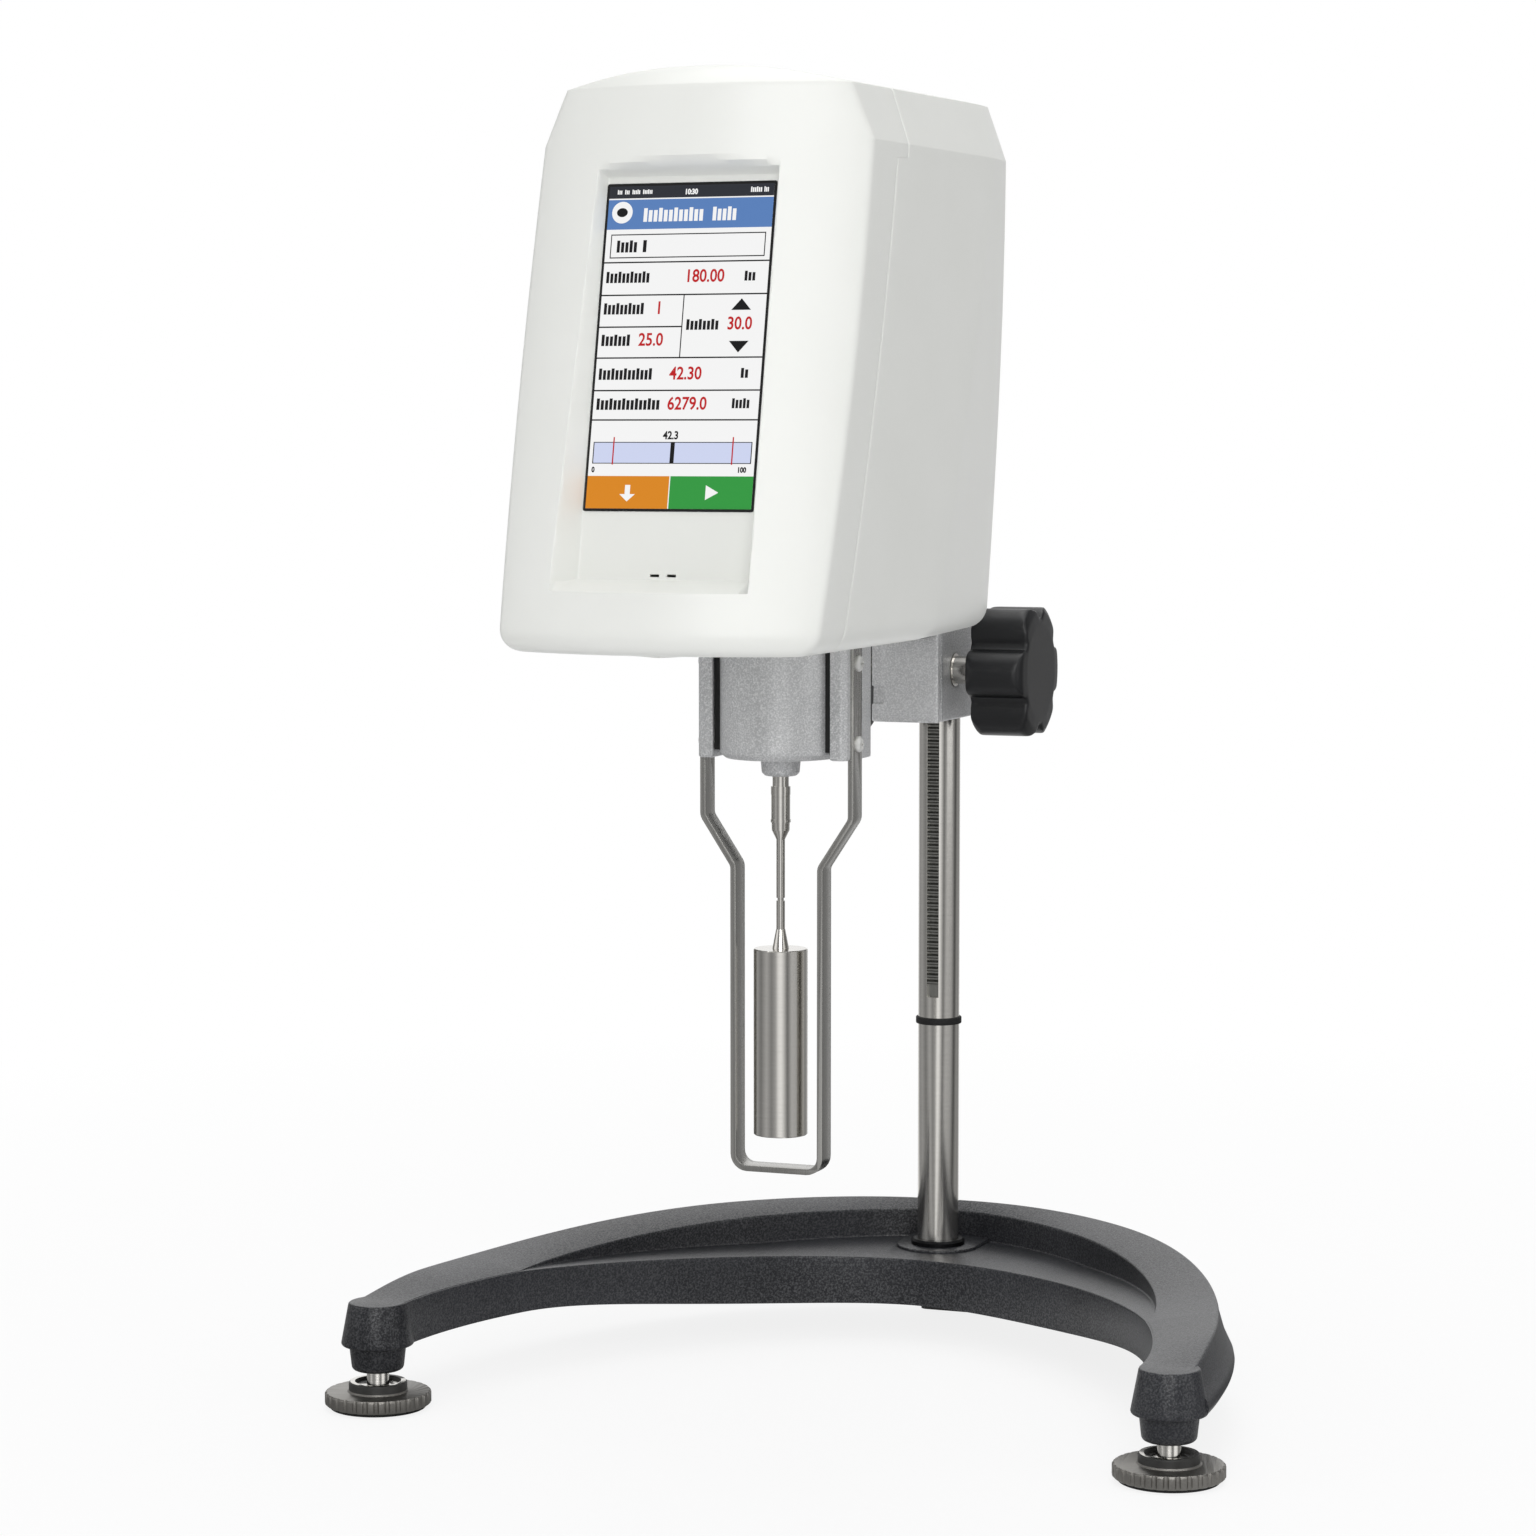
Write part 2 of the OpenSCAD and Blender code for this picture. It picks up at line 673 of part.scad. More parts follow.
module knob() {
    top_r = knob_lobe_at + knob_lobe_r;
    color("#26282a")
        difference() {
            intersection() {
                union() {
                    cylinder(h = knob_h, r = knob_lobe_at + 2.5);
                    for (k = [0:5])
                        rotate([0, 0, 60 * k + 90])
                            translate([knob_lobe_at, 0, 0])
                                cylinder(h = knob_h, r = knob_lobe_r);
                }
                rotate_extrude()
                    polygon([[0, 0], [top_r - 2, 0], [top_r + 0.2, 3], [top_r + 0.2, knob_h - 4],
                        [top_r - 0.8, knob_h - 1.6], [top_r - 3.4, knob_h - 0.3], [top_r - 8, knob_h],
                        [0, knob_h]]);
            }
            translate([0, 0, -1])
                cylinder(h = shaft_half - knob_in + 1.2, r = shaft_r + 0.02);
        }
}

module right_knob() {
    at_shaft()
        translate([0, 0, knob_in])
            knob();
}

module left_knob() {
    at_shaft()
        mirror([0, 0, 1])
            translate([0, 0, knob_in])
                knob();
}

module block_gasket() {
    color("#17181a")
        difference() {
            translate([-block_half_w + 0.8, plate_back, block_low + 1])
                cube([2 * block_half_w - 1.6, gasket_h, block_h - 2]);
            translate([0, plate_back - 1, 0])
                plate_screw_places()
                    cylinder(h = gasket_h + 2, r = m5_r);
        }
}

module head_arm() {
    notch_z = block_low + 7;
    notch_h = 6.4;
    step_w = 4.9;
    step_h = 0.6;
    color("#b4b6b9")
        difference() {
            union() {
                translate([-arm_half_w, plate_front, block_low])
                    cube([2 * arm_half_w, arm_plate_h, block_h]);
                translate([-arm_w / 2, arm_front, deck_top])
                    cube([arm_w, plate_front - arm_front + 1, arm_h]);
            }
            translate([-arm_half_w - 1, plate_front - 1, block_low - 1])
                cube([step_w + 1, step_h + 1, deck_low - block_low]);
            translate([-arm_half_w - 1, plate_front - 1, notch_z])
                cube([step_w + 1, arm_plate_h, notch_h]);
            translate([0, plate_front - 1, 0])
                plate_screw_places()
                    cylinder(h = arm_plate_h + 2, r = m5_r);
            for (s = [-1, 1], y = arm_screw_ys)
                translate([s * arm_w / 4, y, deck_top - 1])
                    cylinder(h = arm_h + 2, r = m5_r);
        }
}

module cap_screw(shank) {
    difference() {
        union() {
            cylinder(h = shank, r = m5_r - 0.02);
            translate([0, 0, -m5_head_h])
                cylinder(h = m5_head_h, r = m5_head_r);
        }
        translate([0, 0, -m5_head_h - 1])
            cylinder(h = 3.5, r = 2.2, $fn = 6);
    }
}

module block_screws() {
    color("#3a3c3f")
        translate([0, plate_front, 0])
            plate_screw_places()
                cap_screw(arm_plate_h + gasket_h + 11);
}

module arm_screws() {
    color("#3a3c3f")
        for (s = [-1, 1], y = arm_screw_ys)
            translate([s * arm_w / 4, y, deck_top + arm_h])
                rotate([180, 0, 0])
                    cap_screw(arm_h + deck_h - 0.5);
}

// ---- Pivot housing and chassis
hub_low = housing_low - 6.3;
hub_radius = 7;
wing_front = -9.7;
wing_back = 14.1;
channel_x = guard_half_top - strip_t;
cavity_r = housing_r - 4;
cavity_low = housing_low + 6.4;
seat_r = 6;
shaft_big_r = 2.85;
guard_top = head_low - 2;
guard_screw_zs = [housing_low + 5.4, housing_low + 33.1];
m3_r = 1.5;
cover_screw_at = [[38, -40], [-38, -40], [34, 50], [-34, 50]];
post_at = 22;
post_r = 3.5;
plate_low = deck_top + 30;
plate_t = 3;
motor_half = 21;
motor_h = 34;
cage_top = plate_low - 4;
cage_flange = deck_top + 4;
vane_high = housing_low + 35;
vane_low = housing_low + 26.5;
vane_t = 1.5;
vane_r = cavity_r - 2;
spring_z = vane_high + 8;
spring_t = 2;
pin_r = 1;
pin_at = vane_r - 1.8;
nut_top = hub_low - 6.5;
nut_low = nut_top - 15.6;

module chassis_casting() {
    color("#a3a6aa")
        difference() {
            union() {
                rotate_extrude()
                    polygon([[0, hub_low], [hub_radius - 1.6, hub_low], [hub_radius - 0.4, hub_low + 1.2],
                        [hub_radius, housing_low - 0.4], [hub_radius + 0.6, housing_low],
                        [housing_r - 2, housing_low], [housing_r, housing_low + 2], [housing_r, deck_top],
                        [0, deck_top]]);
                for (s = [0, 1])
                    mirror([s, 0, 0])
                        translate([0, 0, housing_low])
                            linear_extrude(deck_low - housing_low)
                                polygon([[wing_in, wing_front], [wing_out - 1.7, wing_front],
                                    [wing_out, wing_front + 1.7], [wing_out, -strip_w / 2 - 0.1],
                                    [channel_x, -strip_w / 2 - 0.1], [channel_x, strip_w / 2 + 0.1],
                                    [guard_half_top, strip_w / 2 + 0.1], [guard_half_top, wing_back],
                                    [12, wing_back], [12, 5], [wing_in, 5]]);
                translate([0, 0, deck_low])
                    linear_extrude(deck_h)
                        polygon([[-42, -78], [42, -78], [42, 20], [32, 88], [-32, 88], [-42, 20]]);
            }
            translate([0, 0, cavity_low])
                cylinder(h = big, r = cavity_r);
            translate([0, 0, hub_low + 1])
                cylinder(h = big, r = shaft_big_r + 0.35);
            translate([0, 0, hub_low - 1])
                cylinder(h = 3, r = shaft_big_r + 0.35);
            translate([0, 0, housing_low + 1])
                cylinder(h = big, r = seat_r);
            for (z = guard_screw_zs)
                translate([-big / 2, 0, z])
                    rotate([0, 90, 0])
                        difference() {
                            cylinder(h = big, r = m3_r);
                            translate([0, 0, big / 2 - channel_x + 5.5])
                                cylinder(h = 2 * channel_x - 11, r = m3_r + 1);
                        }
            for (p = cover_screw_at)
                translate([p[0], p[1], deck_low - 1])
                    cylinder(h = deck_h + 2, r = m3_r);
            for (s = [-1, 1], y = arm_screw_ys)
                translate([s * arm_w / 4, y, deck_low - 1])
                    cylinder(h = deck_h + 2, r = m5_r);
        }
}

// Outline of a strip of even thickness that follows a path
function strip_side(path, t) = let (n = len(path))
    [for (i = [0:n - 1])
        let (a = unit2(path[max(i, 1)] - path[max(i, 1) - 1]),
            b = unit2(path[min(i + 1, n - 1)] - path[min(i, n - 2)]),
            na = [-a[1], a[0]], nb = [-b[1], b[0]])
        path[i] + (na + nb) * t / (1 + na * nb)];
function reversed(v) = [for (i = [len(v) - 1:-1:0]) v[i]];

guard_bend_high = housing_low - 20.6;
guard_bend_low = housing_low - 37.6;
guard_corner = 5;
guard_right = let (high = guard_half_top - strip_t / 2, low = guard_half_low - strip_t / 2,
    bottom = guard_low + strip_t / 2, top = [high, guard_top], a = [high, guard_bend_high],
    b = [low, guard_bend_low], c = [low, bottom])
    concat([top], corner(top, a, b, 4, 4), corner(a, b, c, 4, 4), corner(b, c, [0, bottom], guard_corner, 6));

module guard_leg() {
    path = concat(guard_right, [for (p = reversed(guard_right)) [-p[0], p[1]]]);
    color("#8f8f8b")
        difference() {
            translate([0, strip_w / 2, 0])
                rotate([90, 0, 0])
                    linear_extrude(strip_w)
                        polygon(concat(strip_side(path, strip_t / 2),
                            reversed(strip_side(path, -strip_t / 2))));
            for (z = guard_screw_zs)
                translate([-big / 2, 0, z])
                    rotate([0, 90, 0])
                        cylinder(h = big, r = m3_r + 0.1);
        }
}

module guard_screws() {
    color("#c9cbcc")
        for (s = [0, 1], z = guard_screw_zs)
            mirror([s, 0, 0])
                translate([guard_half_top, 0, z])
                    rotate([0, 90, 0])
                        difference() {
                            union() {
                                rotate_extrude()
                                    polygon([[0, 0], [2.8, 0], [2.8, 0.7], [2.2, 1.5], [1.2, 1.8], [0, 1.8]]);
                                translate([0, 0, -strip_t - 5])
                                    cylinder(h = strip_t + 5.5, r = m3_r - 0.02);
                            }
                            for (a = [0, 90])
                                rotate([0, 0, a])
                                    translate([-1.6, -0.3, 0.8])
                                        cube([3.2, 0.6, 2]);
                        }
}

// ---- Covers
module at_glass() {
    translate([0, -glass_front, glass_top])
        rotate([90 - glass_lean, 0, 0])
            children();
}

// Pocket that widens outwards from the floor round the glass
module_h = 8;
post_h = 10;
board_t = 1.6;
module pocket(margin, low, high) {
    draft = 0.38;
    floor_tan = tan(glass_lean);
    x = glass_half_w + margin;
    top = 2.5 + margin;
    bottom = -glass_len - 20 - margin;
    level = function (z) [[-x - draft * z, bottom - floor_tan * z, z],
        [x + draft * z, bottom - floor_tan * z, z],
        [x + draft * z, top + draft * z, z], [-x - draft * z, top + draft * z, z]];
    at_glass()
        loft([level(low), level(high)]);
}

module head_shell() {
    difference() {
        head_solid();
        head_hollow();
    }
}

// Lugs inside the seam: the covers meet there, and the front cover's pins sit in the back cover's holes
lug_zs = [304, 418];
lug_pin_r = 2;
module at_lugs() {
    for (s = [-1, 1], z = lug_zs)
        translate([s * (side_line(z) - cover_wall - 4), seam_at(z), z])
            children();
}
module seam_lugs() {
    at_lugs()
        translate([-5.5, -9, -6])
            cube([11, 18, 12]);
}

module front_cover() {
    color("#f2f3f1")
        difference() {
            union() {
                intersection() {
                    head_shell();
                    seam_side(-seam_gap, -big / 2);
                }
                intersection() {
                    head_solid();
                    seam_side(-seam_gap, -big / 2);
                    pocket(cover_wall, -cover_wall, 40);
                }
                intersection() {
                    seam_lugs();
                    seam_side(0, -big / 2);
                }
                at_lugs()
                    rotate([-90, 0, 0])
                        translate([0, 0, -3])
                            cylinder(h = 8, r = lug_pin_r - 0.02);
            }
            pocket(0, 0, 60);
            at_glass() {
                translate([-glass_half_w - 0.1, -glass_len - 0.1, -cover_wall - 1])
                    cube([2 * glass_half_w + 0.2, glass_len + 0.2, cover_wall + 2]);
                for (x = [-4.6, 1.2])
                    translate([x, -glass_len - 20.2, -cover_wall + 1])
                        cube([3.4, 0.8, cover_wall + 3]);
            }
        }
}

// Flat seats sunk into the back wall: outward is +Z
seat_depth = 0.4;
module at_back(x, z) {
    translate([x, back_line(z) + 1 - abs(x) / 46 - seat_depth, z])
        rotate([atan(head_back_lean) - 90, 0, 0])
            children();
}

switch_at = [-27, 338];
inlet_at = [-27, 312];
port_at = [27, 314];
switch_w = 13;
switch_l = 19;
rocker_tilt = 8;
inlet_r = 5.5;
port_w = 12;
port_h = 11;
level_y = 48;
level_r = 9;
level_z = head_top + rise(level_y, head_top);

module rear_cover() {
    color("#f2f3f1")
        difference() {
            union() {
                intersection() {
                    head_shell();
                    seam_side(seam_gap, big / 2);
                }
                intersection() {
                    seam_lugs();
                    seam_side(0, big / 2);
                }
                for (p = cover_screw_at)
                    translate([p[0], p[1], head_low + 1])
                        cylinder(h = deck_low - head_low - 1, r = 6);
            }
            at_lugs()
                rotate([-90, 0, 0])
                    translate([0, 0, -4])
                        cylinder(h = 10, r = lug_pin_r);
            translate([0, 0, head_low - 1])
                cylinder(h = cover_wall + 3, r = housing_r + 0.4);
            translate([-guard_half_top - 0.6, wing_front - 0.4, head_low - 1])
                cube([2 * guard_half_top + 1.2, wing_back - wing_front + 0.8, cover_wall + 2]);
            translate([-arm_w / 2 - 0.5, arm_front, deck_top - 0.5])
                cube([arm_w + 1, big, arm_h + 1]);
            for (p = cover_screw_at)
                translate([p[0], p[1], head_low - 1]) {
                    cylinder(h = 10, r = m3_r + 0.2);
                    cylinder(h = 3.5, r = 3.3);
                }
            at_back(switch_at[0], switch_at[1]) {
                translate([-switch_w / 2 - 0.02, -switch_l / 2 - 0.02, -cover_wall - 3])
                    cube([switch_w + 0.04, switch_l + 0.04, cover_wall + 8]);
                translate([-switch_w / 2 - 1.7, -switch_l / 2 - 1.7, 0])
                    cube([switch_w + 3.4, switch_l + 3.4, 4]);
            }
            at_back(inlet_at[0], inlet_at[1]) {
                translate([0, 0, -cover_wall - 3])
                    cylinder(h = cover_wall + 8, r = inlet_r + 0.02);
                cylinder(h = 4, r = inlet_r + 2.2);
            }
            at_back(port_at[0], port_at[1])
                translate([-port_w / 2 - 0.02, -port_h / 2 - 0.02, -cover_wall - 3])
                    cube([port_w + 0.04, port_h + 0.04, cover_wall + 8]);
            translate([0, level_y, level_z - 8])
                cylinder(h = 20, r = level_r + 0.02);
        }
}

module cover_screws() {
    color("#c9cbcc")
        for (p = cover_screw_at)
            translate([p[0], p[1], head_low + 0.3])
                difference() {
                    union() {
                        cylinder(h = 2.2, r = 3);
                        cylinder(h = deck_top - head_low - 0.8, r = m3_r - 0.02);
                    }
                    for (a = [0, 90])
                        rotate([0, 0, a])
                            translate([-1.6, -0.3, -1])
                                cube([3.2, 0.6, 2]);
                }
}

module display_glass() {
    color("#202225")
        at_glass()
            translate([-glass_half_w, -glass_len, -cover_wall])
                cube([2 * glass_half_w, glass_len, cover_wall + 0.3]);
}

module display_module() {
    color("#2b5a3b")
        at_glass()
            translate([-glass_half_w - 2, -glass_len - 3, -cover_wall - module_h])
                cube([2 * glass_half_w + 4, glass_len + 6, module_h]);
}

module board_posts() {
    for (x = [-1, 1], y = [-8, -glass_len + 4])
        translate([x * (glass_half_w - 4), y, 0])
            children();
}

module main_board() {
    color("#1f5c36")
        at_glass()
            translate([-glass_half_w - 3, -glass_len - 6, -cover_wall - module_h - post_h - board_t])
                cube([2 * glass_half_w + 6, glass_len + 10, board_t]);
}

module board_standoffs() {
    color("#c9cbcc")
        at_glass()
            translate([0, 0, -cover_wall - module_h - post_h])
                board_posts()
                    cylinder(h = post_h, r = 3, $fn = 6);
}

// ---- Drive
module motor_posts() {
    for (x = [-1, 1], y = [-1, 1])
        translate([x * post_at, y * post_at, 0])
            children();
}

module motor_plate() {
    color("#b9bbbd")
        difference() {
            translate([-post_at - 6, -post_at - 6, plate_low])
                cube([2 * post_at + 12, 2 * post_at + 12, plate_t]);
            translate([0, 0, plate_low - 1])
                cylinder(h = plate_t + 2, r = 11.1);
        }
}

module motor_standoffs() {
    color("#c9cbcc")
        motor_posts()
            translate([0, 0, deck_top])
                cylinder(h = plate_low - deck_top, r = post_r);
}

module stepper_motor() {
    chamfer = 4;
    h = motor_half;
    color("#3a3c3f")
        difference() {
            union() {
                translate([0, 0, plate_low + plate_t])
                    linear_extrude(motor_h)
                        polygon([[-h + chamfer, -h], [h - chamfer, -h], [h, -h + chamfer], [h, h - chamfer],
                            [h - chamfer, h], [-h + chamfer, h], [-h, h - chamfer], [-h, -h + chamfer]]);
                translate([0, 0, plate_low + plate_t - 2])
                    cylinder(h = 3, r = 11);
            }
            translate([0, 0, plate_low - 1])
                cylinder(h = motor_h + 6, r = 2.5 + run_gap);
        }
}

module motor_shaft() {
    color("#c9cbcc")
        translate([0, 0, cage_top - 8])
            cylinder(h = plate_low + plate_t + motor_h - 2 - cage_top + 8, r = 2.5);
}

module drive_cage() {
    color("#c2a35a")
        difference() {
            union() {
                translate([0, 0, cage_flange])
                    cylinder(h = 2, r = vane_r);
                translate([0, 0, cage_flange])
                    cylinder(h = cage_top - cage_flange, r = 6);
                translate([0, 0, vane_high])
                    cylinder(h = vane_t, r = vane_r);
                for (k = [0:2])
                    rotate([0, 0, 120 * k])
                        translate([pin_at, 0, vane_high])
                            cylinder(h = cage_flange - vane_high + 1, r = pin_r);
            }
            translate([0, 0, cage_top - 8])
                cylinder(h = 10, r = 2.52);
            translate([0, 0, cage_flange - 1])
                cylinder(h = 9, r = rod_r + run_gap);
            translate([0, 0, vane_high - 1])
                cylinder(h = vane_t + 2, r = 4.5);
        }
}

// Flat spiral between a collet on the pivot shaft and one of the cage's pins
module hairspring() {
    turns = 3;
    steps = 24;
    inner = 3;
    strip = 0.35;
    outer = pin_at - pin_r - strip / 2;
    spiral = [for (k = [0:turns * steps]) let (a = 360 * k / steps,
        r = mix(inner, outer, k / (turns * steps)))
        [r * cos(a), r * sin(a)]];
    color("#9aa6b8")
        translate([0, 0, spring_z])
            difference() {
                union() {
                    cylinder(h = spring_t, r = inner + 0.1);
                    linear_extrude(spring_t)
                        polygon(concat(strip_side(spiral, strip / 2),
                            reversed(strip_side(spiral, -strip / 2))));
                }
                translate([0, 0, -1])
                    cylinder(h = spring_t + 2, r = rod_r + run_gap);
            }
}

module pivot_bearing() {
    color("#8f3a44")
        translate([0, 0, housing_low + 1])
            difference() {
                cylinder(h = 5, r = seat_r - 0.02);
                translate([0, 0, -1])
                    cylinder(h = 7, r = shaft_big_r + run_gap);
            }
}

module pivot_shaft() {
    color("#b7b4ac")
        rotate_extrude()
            polygon([[0, nut_top - 7], [2, nut_top - 7], [2, nut_top], [3.4, nut_top], [3.4, nut_top + 2.9],
                [shaft_big_r, nut_top + 2.9], [shaft_big_r, vane_low], [vane_r, vane_low],
                [vane_r, vane_low + vane_t], [rod_r, vane_low + vane_t], [rod_r, cage_flange + 7],
                [0, cage_flange + 7]]);
}

module spindle() {
    cone_low = spindle_low + spindle_len;
    mark = cone_low + 16.7;
    color("#b7b4ac")
        difference() {
            rotate_extrude()
                polygon([[0, spindle_low], [spindle_r - 0.3, spindle_low], [spindle_r, spindle_low + 0.3],
                    [spindle_r, cone_low - 0.3], [spindle_r - 0.3, cone_low], [2.9, cone_low],
                    [rod_r + 0.1, cone_low + 6.7], [rod_r, cone_low + 6.8],
                    [rod_r, mark], [rod_r - 0.4, mark],
                    [rod_r - 0.4, mark + 1], [rod_r, mark + 1], [rod_r, nut_low], [3.1, nut_low + 3.2],
                    [3.2, nut_low + 6], [3.5, nut_low + 6], [3.5, nut_low + 7], [3.3, nut_low + 7],
                    [3.3, nut_top], [0, nut_top]]);
            translate([0, 0, nut_top - 7.5])
                cylinder(h = 10, r = 2.02);
        }
}

// ---- Back of the head
module power_switch_frame() {
    color("#1d1e20")
        at_back(switch_at[0], switch_at[1])
            difference() {
                union() {
                    translate([-switch_w / 2 - 1.5, -switch_l / 2 - 1.5, 0])
                        cube([switch_w + 3, switch_l + 3, 1.5]);
                    translate([-switch_w / 2, -switch_l / 2, -14])
                        cube([switch_w, switch_l, 14.5]);
                }
                translate([-switch_w / 2 + 1.2, -switch_l / 2 + 1.2, -9])
                    cube([switch_w - 2.4, switch_l - 2.4, 12]);
                rotate([0, 90, 0])
                    translate([0.5, 0, -switch_w])
                        cylinder(h = 2 * switch_w, r = 1.25);
            }
}

module power_rocker() {
    half = switch_l / 2 - 2.2;
    w = switch_w - 3.4;
    color("#b3261e")
        at_back(switch_at[0], switch_at[1])
            translate([0, 0, -0.5])
                rotate([rocker_tilt, 0, 0]) {
                    translate([-w / 2, 0, 0])
                        rotate([90, 0, 90])
                            linear_extrude(w)
                                polygon([[-half, 2.2], [-half + 1, -3], [half - 1, -3],
                                    [half, 2.2], [half - 0.6, 3.2],
                                    [0, 1.6], [-half + 0.6, 3.2]]);
                    translate([-switch_w / 2 + 0.2, 0, 0])
                        rotate([0, 90, 0])
                            cylinder(h = switch_w - 0.4, r = 1.2);
                }
}

module power_inlet() {
    color("#1d1e20")
        at_back(inlet_at[0], inlet_at[1])
            difference() {
                union() {
                    cylinder(h = 1.6, r = inlet_r + 2);
                    translate([0, 0, -12])
                        cylinder(h = 12.5, r = inlet_r);
                }
                difference() {
                    translate([0, 0, -9])
                        cylinder(h = 12, r = 3.15);
                    translate([0, 0, -10])
                        cylinder(h = 9, r = 1);
                }
            }
}

module data_port() {
    color("#b9bbbd")
        at_back(port_at[0], port_at[1])
            difference() {
                translate([-port_w / 2, -port_h / 2, -14])
                    cube([port_w, port_h, 14.8]);
                difference() {
                    translate([1.7 - port_w / 2, 1.5 - port_h / 2, -9])
                        cube([port_w - 3.4, port_h - 3, 12]);
                    translate([-2.8, -1.6, -10])
                        cube([5.6, 3.2, 9]);
                }
            }
}

module level_cup() {
    color("#1d1e20")
        translate([0, level_y, level_z - 9])
            difference() {
                cylinder(h = 9.6, r = level_r);
                translate([0, 0, 1])
                    cylinder(h = 10, r = level_r - 1.5);
            }
}

module level_glass() {
    color("#b8d96a")
        translate([0, level_y, level_z - 8])
            rotate_extrude()
                polygon([[0, 0], [level_r - 1.52, 0], [level_r - 1.52, 8.2], [0, 8.5]]);
}

placed() {
    base_casting();
    column();
    gear_rack();
    stop_ring();
    column_collar();
    column_bolt();
    column_top_stop();
    rear_foot();
    left_foot_pad();
    left_foot_screw();
    right_foot_pad();
    right_foot_screw();
    lift_block();
    column_bushes();
    shaft_bushes();
    tension_plug();
    tension_screw();
    pinion_shaft();
    left_knob();
    right_knob();
    block_gasket();
    head_arm();
    block_screws();
    arm_screws();
    chassis_casting();
    front_cover();
    rear_cover();
    cover_screws();
    display_glass();
    display_module();
    main_board();
    board_standoffs();
    guard_leg();
    guard_screws();
    motor_plate();
    motor_standoffs();
    stepper_motor();
    motor_shaft();
    drive_cage();
    hairspring();
    pivot_shaft();
    pivot_bearing();
    spindle();
    power_switch_frame();
    power_rocker();
    power_inlet();
    data_port();
    level_cup();
    level_glass();
}
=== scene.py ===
"""Rotational viscometer: the CAD part's pieces dressed for a picture, with camera, floor and lamps."""
import json
import math

import bmesh
import bpy
import numpy as np
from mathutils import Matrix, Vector


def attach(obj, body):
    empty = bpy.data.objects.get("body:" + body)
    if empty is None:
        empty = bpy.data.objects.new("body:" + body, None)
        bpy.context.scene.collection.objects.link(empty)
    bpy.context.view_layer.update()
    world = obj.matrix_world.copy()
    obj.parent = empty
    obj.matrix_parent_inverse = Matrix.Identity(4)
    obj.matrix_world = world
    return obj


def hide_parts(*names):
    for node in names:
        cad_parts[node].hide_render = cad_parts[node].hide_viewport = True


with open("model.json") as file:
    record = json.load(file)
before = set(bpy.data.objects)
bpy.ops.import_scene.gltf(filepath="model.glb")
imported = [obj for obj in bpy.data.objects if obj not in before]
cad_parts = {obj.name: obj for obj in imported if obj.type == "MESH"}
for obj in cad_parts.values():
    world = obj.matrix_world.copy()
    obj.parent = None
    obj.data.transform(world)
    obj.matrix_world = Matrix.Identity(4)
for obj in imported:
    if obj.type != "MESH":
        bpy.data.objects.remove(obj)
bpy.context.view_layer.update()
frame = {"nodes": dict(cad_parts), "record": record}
scene = bpy.context.scene

# Sizes and places are in mm about the spindle's axis, unless a comment says otherwise.
# place() turns them into metres in the frame.
AXIS_Y = 39.315  # the spindle's axis lies this far behind the frame's origin

# ---------------------------------------------------------------- camera
CAMERA_X, CAMERA_Y, CAMERA_Z = 487.69, -1306.50, 347.10
CAMERA_DIP, CAMERA_TURN = 4.72, 20.65  # degrees
LENS, SENSOR = 94.86, 36

camera = bpy.data.objects.new("camera", bpy.data.cameras.new("camera"))
scene.collection.objects.link(camera)
camera.data.lens = LENS
camera.data.sensor_width = SENSOR
camera.data.clip_end = 50
camera.location = (CAMERA_X / 1000, (CAMERA_Y - AXIS_Y) / 1000, CAMERA_Z / 1000)
camera.rotation_euler = (math.radians(90 - CAMERA_DIP), 0, math.radians(CAMERA_TURN))
scene.camera = camera
scene.view_settings.view_transform = "Standard"


# ---------------------------------------------------------------- materials
def srgb(colour):
    """a colour as a picture shows it, turned into linear light"""
    return tuple(v / 12.92 if v <= 0.04045 else ((v + 0.055) / 1.055) ** 2.4 for v in colour)


MATS = {}


